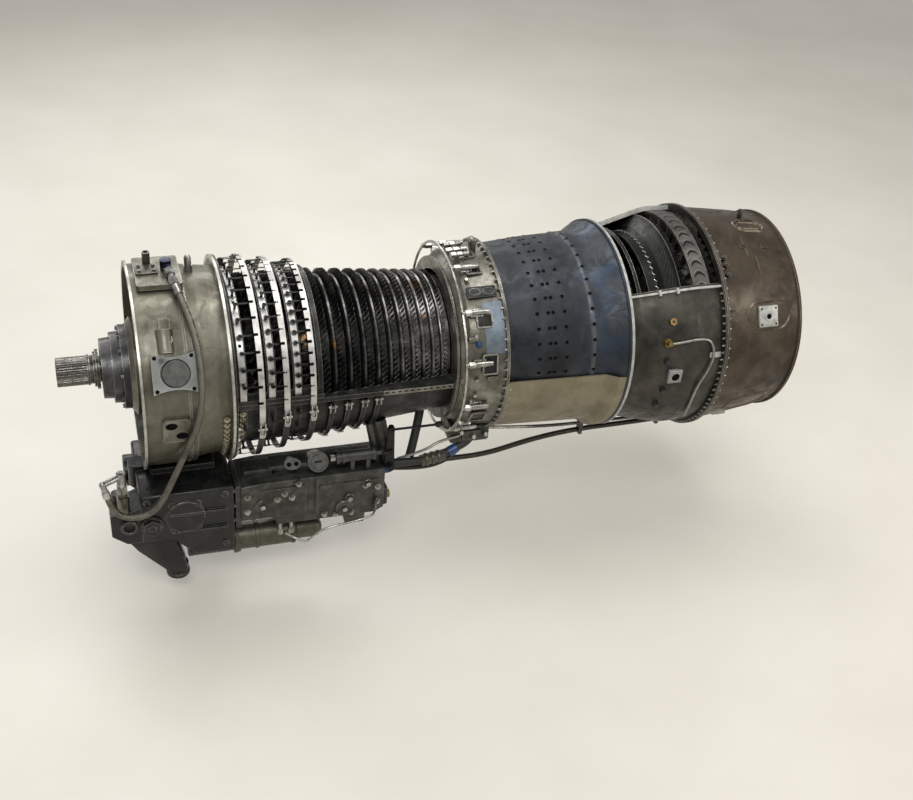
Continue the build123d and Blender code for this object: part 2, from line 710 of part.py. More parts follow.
def combustion_liner():
    """Outer flame tube wall that flares to its rear flange, with the dilution holes."""
    shell = revolved(
        LINER_SKIN
        + [(X_TURBINE - 7.0, LINER_FLANGE_R - 4.0), (X_TURBINE - 7.0, LINER_FLANGE_R),
           (X_TURBINE, LINER_FLANGE_R), (X_TURBINE, LINER_FLANGE_R - 14.0)]
        + [(X_TURBINE - 10.0, LINER_FLANGE_R - 10.0)]
        + shifted(LINER_SKIN, -LINER_WALL)[::-1]
    )
    square = Box(7.0, 7.0, 40.0)
    holes = [
        around(X_LINER + 0.3 * COMBUSTOR_LENGTH + dx, LINER_FRONT_R, 9.0 * i + 1.0) * square
        for i in range(20)
        for dx in (-22.0, 12.0)
    ]
    return shell - holes


def inner_liner():
    profile = [(X_LINER - 14.0, DRUM_R - 39.0), (X_LINER + 120.0, 150.0), (X_TURBINE, 176.0)]
    return revolved(profile + shifted(profile, -LINER_WALL)[::-1])


def lower_combustor_case():
    x0, x1 = X_LINER, X_TURBINE
    gap = 6.0
    skin = [(x, r + gap + CASE_WALL) for x, r in LINER_SKIN if x < x1 - 60.0]
    skin = [(x0, LINER_FRONT_R + 12.0), (x1 - 59.0, LINER_REAR_R + 8.0), (x1 - 30.0, LINER_FLANGE_R - 1.0)]
    bore = shifted(skin, -CASE_WALL)
    return lower_half(
        [(x0, MAIN_REAR_R - 1.0), (x0 + RIM, MAIN_REAR_R - 1.0), (x0 + RIM, LINER_FRONT_R + 12.2)]
        + skin[1:]
        + [(x1 - 7.0, LINER_FLANGE_R - 1.0), (x1 - 7.0, LINER_FLANGE_R - 3.8)]
        + bore[::-1]
    )


# Turbine section
def nozzle(x0, x1, inner, hub_wall, outer_front, outer_rear, wall, count, stagger):
    """A ring of fixed vanes between an inner ring and an outer shroud."""
    shroud = revolved(
        [(x0, outer_front), (x1, outer_rear), (x1, outer_rear - wall), (x0, outer_front - wall)]
    )
    hub = ring(x0, x1, inner - hub_wall, inner)
    mid = (x0 + x1) / 2
    reach = min(outer_front, outer_rear) - wall / 2
    vanes = blade_row(mid, inner - 0.4, reach, count, (x1 - x0) * 0.8, stagger, 4.0)
    return shroud + [hub] + vanes


def first_nozzle():
    x0, x1 = X_TURBINE, X_TURBINE + 10.0
    r0, r1 = (between(TURBINE_SKIN, x) - CASE_WALL for x in (x0, x1))
    return nozzle(x0, x1, GAS_DISC_R - 5.0, 18.0, r0, r1, 26.0, 24, 30.0)


def second_nozzle():
    x0, x1 = X_TURBINE + 40.0, X_TURBINE + 49.0
    r0, r1 = (between(TURBINE_SKIN, x) - CASE_WALL for x in (x0, x1))
    return nozzle(x0, x1, GAS_DISC_R + 4.0, 6.0, r0, r1, 28.0, 24, -30.0)


def power_nozzle():
    """Conical shroud with the chevron vanes at its small end."""
    x0 = X_TURBINE + 83.0
    x1 = X_TURBINE + 156.0
    r1 = between(TURBINE_SKIN, x1) - CASE_WALL
    shroud = revolved(
        [(x0, 254.0), (x0 + 26.0, 256.0), (x1, r1), (x1, r1 - 6.0), (x0 + 26.0, 250.0), (x0, 248.0)]
    )
    hub = ring(x0, x0 + 30.0, GAS_DISC_R - 9.0, GAS_DISC_R - 3.0)
    vanes = blade_row(x0 + 14.0, GAS_DISC_R - 4.0, 251.0, 30, 24.0, 28.0, 5.0)
    return shroud + [hub] + vanes


def power_nozzle_band():
    """Second power-turbine nozzle: a bare outer band pierced by the vane ends."""
    x0 = X_TURBINE + 191.0
    x1 = x0 + 50.0
    outer = TURBINE_REAR_R - CASE_WALL
    band = ring(x0, x1, outer - 6.0, outer)
    hub = ring(x0, x1, POWER_DISC_R - 2.0, POWER_DISC_R + 4.0)
    vanes = blade_row((x0 + x1) / 2, POWER_DISC_R + 3.0, outer - 3.0, 32, 40.0, 24.0, 6.0)
    return band + [hub] + vanes


def turbine_case():
    x0, x1 = X_TURBINE, X_EXHAUST
    bore = shifted(TURBINE_SKIN, -CASE_WALL)
    shell = revolved(
        [(x0, LINER_FLANGE_R - 1.0), (x0 + RIM, LINER_FLANGE_R - 1.0), (x0 + RIM, TURBINE_FRONT_R + 1.0)]
        + TURBINE_SKIN[1:-1]
        + [(x1 - RIM, TURBINE_REAR_R), (x1 - RIM, REAR_FLANGE_R), (x1, REAR_FLANGE_R)]
        + bore[::-1]
    )
    window = sector(
        x0 + RIM, x1 - RIM, TURBINE_FRONT_R - 68.0, REAR_FLANGE_R + 20.0, WINDOW_FROM, WINDOW_TO
    )
    return shell - window


def turbine_fittings():
    """Square pad with a port, a hex plug and the probe union on the turbine case."""
    x = X_TURBINE + 165.0
    seat = between(TURBINE_SKIN, x)
    pad = around(x, seat - 3.0, -6.0) * (
        extrude(RectangleRounded(40.0, 40.0, 3.0), 12.0) - Pos(0, 0, 9.0) * Cylinder(12.0, 8.0)
    )
    plug_x = X_TURBINE + 139.0
    plug_seat = between(TURBINE_SKIN, plug_x)
    plug = hex_boss(plug_x, 30.0, plug_seat - 3.0, plug_seat + 12.0, 11.0)
    probe_x = X_TURBINE + 145.0
    probe_seat = between(TURBINE_SKIN, probe_x)
    probe = hex_boss(probe_x, 17.0, probe_seat - 3.0, probe_seat + 9.0, 15.0)
    tip = boss(probe_x, 17.0, probe_seat + 9.0, probe_seat + 24.0, 7.0)
    cut = revolved([(X_TURBINE, 1.0), (X_EXHAUST, 1.0)] + TURBINE_SKIN[::-1])
    return [(pad - cut), (plug - cut), ((probe + tip) - cut)]


def exhaust_case():
    x0, x1 = X_EXHAUST, X_RIM
    bore = shifted(EXHAUST_SKIN, -LINER_WALL)
    shell = revolved(
        [(x0, REAR_FLANGE_R), (x0 + RIM, REAR_FLANGE_R), (x0 + RIM, EXHAUST_FRONT_R)]
        + EXHAUST_SKIN[1:-1]
        + [(x1 - 7.0, EXHAUST_RIM_R - 5.0), (x1 - 7.0, EXHAUST_RIM_R), (x1, EXHAUST_RIM_R)]
        + bore[::-1]
    )
    return shell


def exhaust_pad():
    x = X_EXHAUST + 150.0
    seat = between(EXHAUST_SKIN, x)
    plate = extrude(RectangleRounded(42.0, 44.0, 4.0), 16.0)
    port = Pos(0, 0, 12.0) * Cylinder(6.0, 10.0)
    cut = revolved([(X_EXHAUST, 1.0), (X_RIM, 1.0)] + EXHAUST_SKIN[::-1])
    return around(x, seat - 6.0, 28.0) * (plate - port) - cut


EXHAUST_HUB_R = 222.0


def exhaust_frame():
    """Hub ring on six thin struts that carries the rear bearing web."""
    x0 = X_EXHAUST + 12.0
    hub = ring(x0, x0 + 96.0, EXHAUST_HUB_R - 8.0, EXHAUST_HUB_R)
    web = ring(x0 + 24.0, x0 + 34.0, BEARING_R - 10.0, EXHAUST_HUB_R - 4.0)
    half = 36.0
    lens = make_face(
        ThreePointArc((-half, 0), (0, 6.0), (half, 0)) + ThreePointArc((half, 0), (0, -6.0), (-half, 0))
    )
    strut = Pos(x0 + 50.0, 0, EXHAUST_HUB_R - 4.0) * extrude(lens, EXHAUST_FRONT_R - EXHAUST_HUB_R + 20.0)
    struts = [Rot(360.0 / STRUT_COUNT * i, 0, 0) * strut for i in range(STRUT_COUNT)]
    outside = revolved(
        shifted(EXHAUST_SKIN, -LINER_WALL) + [(X_RIM, 400.0), (X_EXHAUST, 400.0)]
    )
    return hub + [web] + struts - outside


def rear_bearing():
    x0 = X_EXHAUST + 30.0
    return ring(x0, x0 + BEARING_WIDTH, POWER_SHAFT_R + BEARING_GAP, BEARING_R - 10.0)


def exhaust_cone():
    x0 = X_EXHAUST + 108.0
    return revolved(
        [(x0, EXHAUST_HUB_R - 8.0), (x0, EXHAUST_HUB_R), (x0 + 60.0, 178.0), (x0 + 110.0, 96.0),
         (x0 + 122.0, 0.0), (x0 + 118.0, 0.0), (x0 + 106.0, 94.0), (x0 + 57.0, 174.0),
         (x0 + 6.0, EXHAUST_HUB_R - 8.0)]
    )


# Fuel nozzles and manifold on the main frame
NOZZLE_ANGLES = tuple(-72.0 + 36.0 * i for i in range(10))


def fuel_nozzles():
    solids = []
    x = X_MAIN + 66.0
    seat = MAIN_BELLY_R - 1.0
    for angle in NOZZLE_ANGLES:
        foot = around(x, seat, angle) * Box(34.0, 22.0, 8.0, align=(Align.CENTER, Align.CENTER, Align.MIN))
        body = around(x - 32.0, MAIN_BELLY_R + 13.0, angle) * Rot(0, 90, 0) * Cylinder(
            7.0, 60.0, align=(Align.CENTER, Align.CENTER, Align.MIN)
        )
        cut = revolved(
            [(X_MAIN, 1.0), (X_LINER, 1.0), (X_LINER, MAIN_BELLY_R + 6.0),
             (X_LINER - 22.0, MAIN_BELLY_R + 6.0), (X_MAIN + 54.0, MAIN_BELLY_R),
             (X_MAIN + 34.0, MAIN_BELLY_R - 8.0)]
        )
        solids.append((foot + body) - cut - fuel_manifold())
    return solids


def fuel_manifold():
    x = X_MAIN + 40.0
    return Pos(x, 0, 0) * Rot(0, 90, 0) * Torus(MAIN_BELLY_R + 14.0, 4.0)


# Accessories
def accessory_gearbox():
    """Cast gearbox hung under the inlet frame, with its drive pads."""
    x0, x1 = GEARBOX_FRONT, GEARBOX_FRONT + GEARBOX_LENGTH
    depth = GEARBOX_FAR - GEARBOX_NEAR
    side = Polyline(
        (x0, GEARBOX_TOP), (x1, GEARBOX_TOP), (x1, GEARBOX_BOTTOM), (x0 + 120.0, GEARBOX_BOTTOM),
        (x0 - 20.0, GEARBOX_TOP - 130.0), (x0, GEARBOX_TOP - 60.0), close=True,
    )
    block = Pos(0, GEARBOX_FAR, 0) * extrude(Plane.XZ * make_face(side), depth)
    block = fillet(block.edges().filter_by(Axis.Y), 14.0)
    neck = Pos(110.0, -10.0, GEARBOX_TOP) * Box(
        150.0, 130.0, 60.0, align=(Align.CENTER, Align.CENTER, Align.CENTER)
    )
    mid_y = (GEARBOX_NEAR + GEARBOX_FAR) / 2
    front_drive = Pos(x0 - 24.0, mid_y + 60.0, GEARBOX_TOP - 58.0) * Rot(0, 90, 0) * Cylinder(46.0, 60.0)
    return block + [neck, front_drive] - frame_envelope()


def gearbox_cover():
    """Round cover and hex plug on the near front corner."""
    x = GEARBOX_FRONT + 36.0
    z = GEARBOX_TOP - 106.0
    plug = Pos(x, GEARBOX_NEAR, z) * Rot(90, 0, 0) * extrude(RegularPolygon(27.0, 6), 16.0)
    collar = Pos(x, GEARBOX_NEAR, z) * Rot(90, 0, 0) * extrude(Circle(29.0), 5.0)
    return plug + collar


def drain_funnel():
    """Tapering outlet from the gearbox floor down to its round port."""
    x0 = GEARBOX_FRONT + 10.0
    top = Plane((x0 + 66.0, GEARBOX_NEAR + 76.0, GEARBOX_BOTTOM + 0.0))
    x1 = GEARBOX_FRONT + 122.0
    bottom = Plane((x1, GEARBOX_NEAR + 60.0, GEARBOX_BOTTOM - 76.0))
    throat = loft([top * RectangleRounded(120.0, 110.0, 30.0), bottom * Circle(31.0)])
    lip = Pos(x1, GEARBOX_NEAR + 60.0, GEARBOX_BOTTOM - 88.0) * extrude(Circle(36.0) - Circle(24.0), 12.0)
    return throat + lip


def oil_pump():
    """Long scavenge pump housing under the fuel control."""
    x0 = GEARBOX_FRONT + GEARBOX_LENGTH
    z = CONTROL_BOTTOM - 26.0
    y = -120.0
    barrel = Pos(x0, y, z) * Rot(0, 90, 0) * extrude(Circle(36.0), 190.0)
    saddle = Pos(x0 + 95.0, y, z + 26.0) * Box(150.0, 50.0, 52.0)
    top = Pos(x0 + 95.0, y, CONTROL_BOTTOM + 200.0) * Box(400.0, 400.0, 400.0)
    return barrel + saddle - top


def fuel_control():
    """Cast fuel control bolted to the gearbox's rear pad."""
    x0 = X_CONTROL
    y_mid = (CONTROL_NEAR + CONTROL_FAR) / 2
    z_mid = (CONTROL_TOP + CONTROL_BOTTOM) / 2
    depth = CONTROL_FAR - CONTROL_NEAR
    height = CONTROL_TOP - CONTROL_BOTTOM
    body = Pos(x0 + CONTROL_LENGTH / 2, y_mid, z_mid) * Box(CONTROL_LENGTH, depth, height)
    body = fillet(body.edges(), 12.0)
    flange = RectangleRounded(height - 20.0, depth - 20.0, 20.0)
    mount = Pos(x0 - 15.0, y_mid, z_mid) * Rot(0, 90, 0) * extrude(flange, 20.0)
    upper = Pos(x0 + 0.58 * CONTROL_LENGTH, CONTROL_NEAR + 55.0, CONTROL_TOP + 20.0) * Box(300.0, 70.0, 76.0)
    upper = fillet(upper.edges().filter_by(Axis.Z), 12.0)
    clear = Rot(0, 90, 0) * Cylinder(RING_R[0] + 4.0, 2 * CONTROL_LENGTH)
    upper -= Pos(x0 + CONTROL_LENGTH / 2, 0, 0) * clear
    belly = Pos(x0 + 0.72 * CONTROL_LENGTH, CONTROL_NEAR + 60.0, CONTROL_BOTTOM - 4.0) * Box(60.0, 60.0, 30.0)
    return body + [mount, upper, belly]


def control_cap():
    x = X_CONTROL + 0.5 * CONTROL_LENGTH
    y = CONTROL_NEAR
    z = CONTROL_TOP - 20.0
    disc = Pos(x, y, z) * Rot(90, 0, 0) * extrude(Circle(38.0), 16.0)
    dish = Pos(x, y - 16.0, z) * Rot(90, 0, 0) * Cylinder(31.0, 6.0)
    return disc - dish


def control_oval_cover():
    x = X_CONTROL + 0.3 * CONTROL_LENGTH
    y = CONTROL_NEAR + 20.0
    z = CONTROL_TOP + 24.0
    plate = Pos(x, y, z) * Rot(90, 0, 0) * extrude(SlotOverall(58.0, 36.0), 10.0)
    holes = [Pos(x + s * 11.0, y - 10.0, z) * Rot(90, 0, 0) * Cylinder(7.0, 8.0) for s in (-1, 1)]
    return plate - holes


NODES = {
    "front_frame": front_frame,
    "nose_housing": nose_housing,
    "nose_bearing": nose_bearing,
    "core_front_bearing": core_front_bearing,
    "mounting_pad": mounting_pad,
    "drain_pad": drain_pad,
    "top_cover": top_cover,
    "pressure_fitting": pressure_fitting,
    "compressor_case_lower": lower_case,
    "compressor_case_upper": upper_case,
    "vane_levers_1": lambda: levers(0),
    "vane_levers_2": lambda: levers(1),
    "vane_levers_3": lambda: levers(2),
    "variable_vanes": variable_vanes,
    "rear_stator_vanes": rear_stator_vanes,
    "unison_ring_1_upper": lambda: upper_ring(0),
    "unison_ring_2_upper": lambda: upper_ring(1),
    "unison_ring_3_upper": lambda: upper_ring(2),
    "unison_ring_1_lower": lambda: lower_ring(0),
    "unison_ring_2_lower": lambda: lower_ring(1),
    "unison_ring_3_lower": lambda: lower_ring(2),
    "rear_unison_rings": rear_rings,
    "compressor_rotor_front": front_rotor,
    "compressor_rotor_drum": drum_rotor,
    "core_shaft": core_shaft,
    "gas_turbine_disc_1": lambda: gas_disc(0),
    "gas_turbine_disc_2": lambda: gas_disc(1),
    "power_turbine_disc_1": lambda: power_disc(0),
    "power_turbine_disc_2": lambda: power_disc(1),
    "power_shaft": power_shaft,
    "main_frame": main_frame,
    "core_rear_bearing": core_rear_bearing,
    "combustion_liner": combustion_liner,
    "inner_liner": inner_liner,
    "combustor_case_lower": lower_combustor_case,
    "turbine_nozzle_1": first_nozzle,
    "turbine_nozzle_2": second_nozzle,
    "power_nozzle": power_nozzle,
    "power_nozzle_band": power_nozzle_band,
    "turbine_case": turbine_case,
    "turbine_fittings": turbine_fittings,
    "exhaust_case": exhaust_case,
    "exhaust_pad": exhaust_pad,
    "exhaust_frame": exhaust_frame,
    "rear_bearing": rear_bearing,
    "exhaust_cone": exhaust_cone,
    "fuel_nozzles": fuel_nozzles,
    "fuel_manifold": fuel_manifold,
    "accessory_gearbox": accessory_gearbox,
    "gearbox_cover": gearbox_cover,
    "drain_funnel": drain_funnel,
    "oil_pump": oil_pump,
    "fuel_control": fuel_control,
    "control_cap": control_cap,
    "control_oval_cover": control_oval_cover,
}

for node, make in NODES.items():
    shape = make()
    if isinstance(shape, list):
        shape = group(shape)
    shape.label = node
    export_step(shape, f"parts/{node}.step")
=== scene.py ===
import json
import math

import bmesh
import bpy
from mathutils import Matrix, Vector


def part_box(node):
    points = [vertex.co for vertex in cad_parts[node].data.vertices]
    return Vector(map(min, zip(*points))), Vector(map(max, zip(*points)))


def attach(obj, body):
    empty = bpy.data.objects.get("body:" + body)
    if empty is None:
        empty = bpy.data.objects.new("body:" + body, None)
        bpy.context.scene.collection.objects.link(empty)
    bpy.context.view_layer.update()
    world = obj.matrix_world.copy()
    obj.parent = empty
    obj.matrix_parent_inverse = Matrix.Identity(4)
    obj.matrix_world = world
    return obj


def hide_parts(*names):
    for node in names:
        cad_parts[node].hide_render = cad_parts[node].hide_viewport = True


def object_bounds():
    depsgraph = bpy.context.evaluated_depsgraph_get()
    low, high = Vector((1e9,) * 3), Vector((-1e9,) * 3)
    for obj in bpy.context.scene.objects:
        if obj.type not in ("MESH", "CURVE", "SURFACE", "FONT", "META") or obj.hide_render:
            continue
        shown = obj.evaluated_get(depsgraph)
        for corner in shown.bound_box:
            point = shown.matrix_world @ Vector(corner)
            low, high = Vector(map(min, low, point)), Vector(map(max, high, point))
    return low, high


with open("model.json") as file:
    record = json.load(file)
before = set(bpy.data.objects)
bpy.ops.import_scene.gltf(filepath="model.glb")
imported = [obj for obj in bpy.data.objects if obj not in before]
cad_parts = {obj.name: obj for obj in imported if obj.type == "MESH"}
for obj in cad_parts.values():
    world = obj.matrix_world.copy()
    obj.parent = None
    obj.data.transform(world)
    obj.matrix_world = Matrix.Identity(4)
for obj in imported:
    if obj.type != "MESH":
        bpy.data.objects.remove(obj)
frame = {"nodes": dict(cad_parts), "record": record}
CAD_BOUNDS = [list(corner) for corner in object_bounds()]

# Camera
PHOTO_WIDTH = 913
SENSOR_WIDTH = 36.0
FOCAL_PIXELS = 1245.6
CAMERA_PLACE = Vector((-0.15243, -2.82624, 1.80377))
CAMERA_YAW = 0.358326
CAMERA_PITCH = 0.591972
CAMERA_ROLL = 0.0946943

# Stations along the shaft, in metres
FRAME_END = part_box("front_frame")[1].x
MAIN_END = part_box("combustion_liner")[0].x
TURBINE_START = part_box("turbine_case")[0].x
EXHAUST_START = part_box("exhaust_case")[0].x

# Compressor rotor, its drum's rows closing up towards the rear
TIP_FRONT = 0.221
TIP_REAR = 0.190
DRUM_FRONT = 0.455
DRUM_REAR = 0.811
DRUM_R = 0.180
DRUM_BORE = 0.051
DRUM_WALL = 0.012
DRUM_ROWS = 11
DRUM_FIRST = 0.469
DRUM_PITCH = 0.042654
DRUM_SHRINK = 0.94
DRUM_STATIONS = [
    DRUM_FIRST + DRUM_PITCH * (1 - DRUM_SHRINK ** i) / (1 - DRUM_SHRINK) for i in range(DRUM_ROWS)
]
FRONT_STATIONS = (0.287, 0.354, 0.421)
FRONT_ROOTS = (0.124, 0.150, 0.168)

# Rounded land behind each blade row of the drum: share of the pitch and of the rise
LAND_RISE = 0.55
LAND_SHAPE = (
    (0.40, 0.0), (0.44, 0.5), (0.50, 0.85), (0.58, 1.0), (0.70, 1.0), (0.78, 0.85), (0.84, 0.5), (0.88, 0.0),
)

# Vane stems and unison rings
RINGS = ("ring_1", "ring_2", "ring_3")
STRIP_X = (0.250, 0.323, 0.390)
STRIP_R = (0.238, 0.234, 0.232)
RING_X = (0.292, 0.357, 0.427)
RING_R = (0.268, 0.257, 0.247)
RING_SPLIT = (-13.0, -8.0, -8.0)
LEVER_COUNTS = (38, 44, 54)
COLLAR_R = 0.0078
REAR_RING_X = tuple(FRAME_END + along for along in (0.254, 0.298, 0.342, 0.380))
REAR_RING_R = (0.237, 0.232, 0.228, 0.225)
SPLIT_FLANGE_R = 0.240

# Side pads of the inlet frame: station and degrees above the near horizontal
FRAME_R = 0.264
MOUNT_PAD = (0.082, 26.5)
MOUNT_PAD_TOP = FRAME_R + 0.014
DRAIN_PAD = (0.079, -7.0)
DRAIN_PAD_TOP = FRAME_R + 0.006

# Liner holes as shares of the combustor, power wheels, and tops of the turbine and exhaust pads
HOLE_ROWS = (0.257, 0.345, 0.386, 0.481, 0.714)
WHEEL_ROOT = 0.226
TURBINE_PADS = (0.2998, 0.2958, 0.2924)
PAD_TOP = 0.3094

# Outside of the exhaust case as (station, radius)
EXHAUST_LINE = [
    (EXHAUST_START + along, radius) for along, radius in (
        (0.0, 0.314), (0.056, 0.311), (0.106, 0.305), (0.172, 0.297), (0.222, 0.289), (0.253, 0.288))
]

# Vanes drawn in the finish of the power nozzle: pitches in degrees, bow and slant in degrees per metre
NOZZLE_BAND_MIDDLE = TURBINE_START + 0.216
CRESCENT_PITCH = 6.4
CRESCENT_BOW = 9000.0
VANE_PITCH = 3.6
VANE_SLANT = 160.0

# Hose
HOSE_DIAMETER = 0.017
HOSE_PORT = (0.098, 0.002, 0.292)
HOSE_ROUTE = [
    (0.117, -0.109, 0.262), (0.129, -0.157, 0.239), (0.140, -0.207, 0.200), (0.145, -0.242, 0.155),
    (0.145, -0.268, 0.104), (0.140, -0.284, 0.048), (0.128, -0.288, -0.012), (0.107, -0.274, -0.072),
    (0.091, -0.256, -0.128), (0.073, -0.243, -0.182), (0.056, -0.236, -0.228), (0.038, -0.234, -0.268),
    (0.015, -0.232, -0.304), (-0.021, -0.231, -0.323), (-0.062, -0.229, -0.318), (-0.092, -0.226, -0.290),
    (-0.101, -0.222, -0.250),
]

# Gearbox, pump and fuel control: heads as (x, z), bosses as (x, z, radius), the servo's line as (y, z)
GEARBOX_HEADS = (
    (0.060, -0.318), (0.128, -0.318), (0.060, -0.397), (0.128, -0.397), (0.200, -0.300), (0.200, -0.470),
    (-0.004, -0.300),
)
PLUG_PLACE = (0.006, -0.374)
PUMP_PLACE = (0.225, -0.150, -0.498)
CONTROL_BOSSES = (
    (0.299, -0.356, 0.020), (0.527, -0.400, 0.026), (0.541, -0.366, 0.014), (0.591, -0.322, 0.012),
)
CONTROL_HEADS = (
    (0.397, -0.292), (0.471, -0.414), (0.585, -0.332), (0.547, -0.420), (0.503, -0.420), (0.259, -0.372),
    (0.259, -0.322), (0.621, -0.392), (0.621, -0.342), (0.339, -0.336), (0.379, -0.336), (0.359, -0.320),
)
COVER_FACING = (0, -0.866, 0.5)
CAP_PLACE = (0.455, -0.179, -0.249)
OVAL_PLACE = (0.385, -0.179, -0.247)
SERVO = (-0.188, -0.237)
CRANK = (0.655, -0.188, -0.287)

# Tones of worn edges
SILVER = (0.5, 0.49, 0.46)
DULL = (0.3, 0.29, 0.26)

ENGINE_MIDDLE = (0.85, 0, 0)
MERGE_REACH = 0.000002
SHARP_ANGLE = math.radians(30.0)
QUARTER_TURN = Matrix.Rotation(math.radians(90), 4, "Y")


def new_object(name, data):
    """Object in the scene that shows the data."""
    made = bpy.data.objects.new(name, data)
    bpy.context.scene.collection.objects.link(made)
    return made


def aim_camera():
    """Camera at the photograph's angle."""
    forward = Vector((
        math.sin(CAMERA_YAW) * math.cos(CAMERA_PITCH),
        math.cos(CAMERA_YAW) * math.cos(CAMERA_PITCH),
        -math.sin(CAMERA_PITCH),
    ))
    level = Vector((math.cos(CAMERA_YAW), -math.sin(CAMERA_YAW), 0))
    upright = level.cross(forward)
    side = math.cos(CAMERA_ROLL) * level + math.sin(CAMERA_ROLL) * upright
    top = math.cos(CAMERA_ROLL) * upright - math.sin(CAMERA_ROLL) * level
    lens = bpy.data.cameras.new("camera")
    lens.sensor_width = SENSOR_WIDTH
    lens.lens = FOCAL_PIXELS * SENSOR_WIDTH / PHOTO_WIDTH
    lens.clip_end = 60
    camera = new_object("camera", lens)
    turn = Matrix((side, top, -forward)).transposed().to_4x4()
    camera.matrix_world = Matrix.Translation(CAMERA_PLACE) @ turn
    bpy.context.scene.camera = camera


def soft_box(name, place, target, size, watts, colour):
    """Rectangular studio lamp pointed at a target."""
    lamp = bpy.data.lights.new(name, "AREA")
    lamp.shape = "RECTANGLE"
    lamp.size, lamp.size_y = size
    lamp.energy = watts
    lamp.color = colour
    box = new_object(name, lamp)
    box.location = place
    box.rotation_euler = (Vector(target) - Vector(place)).to_track_quat("-Z", "Y").to_euler()


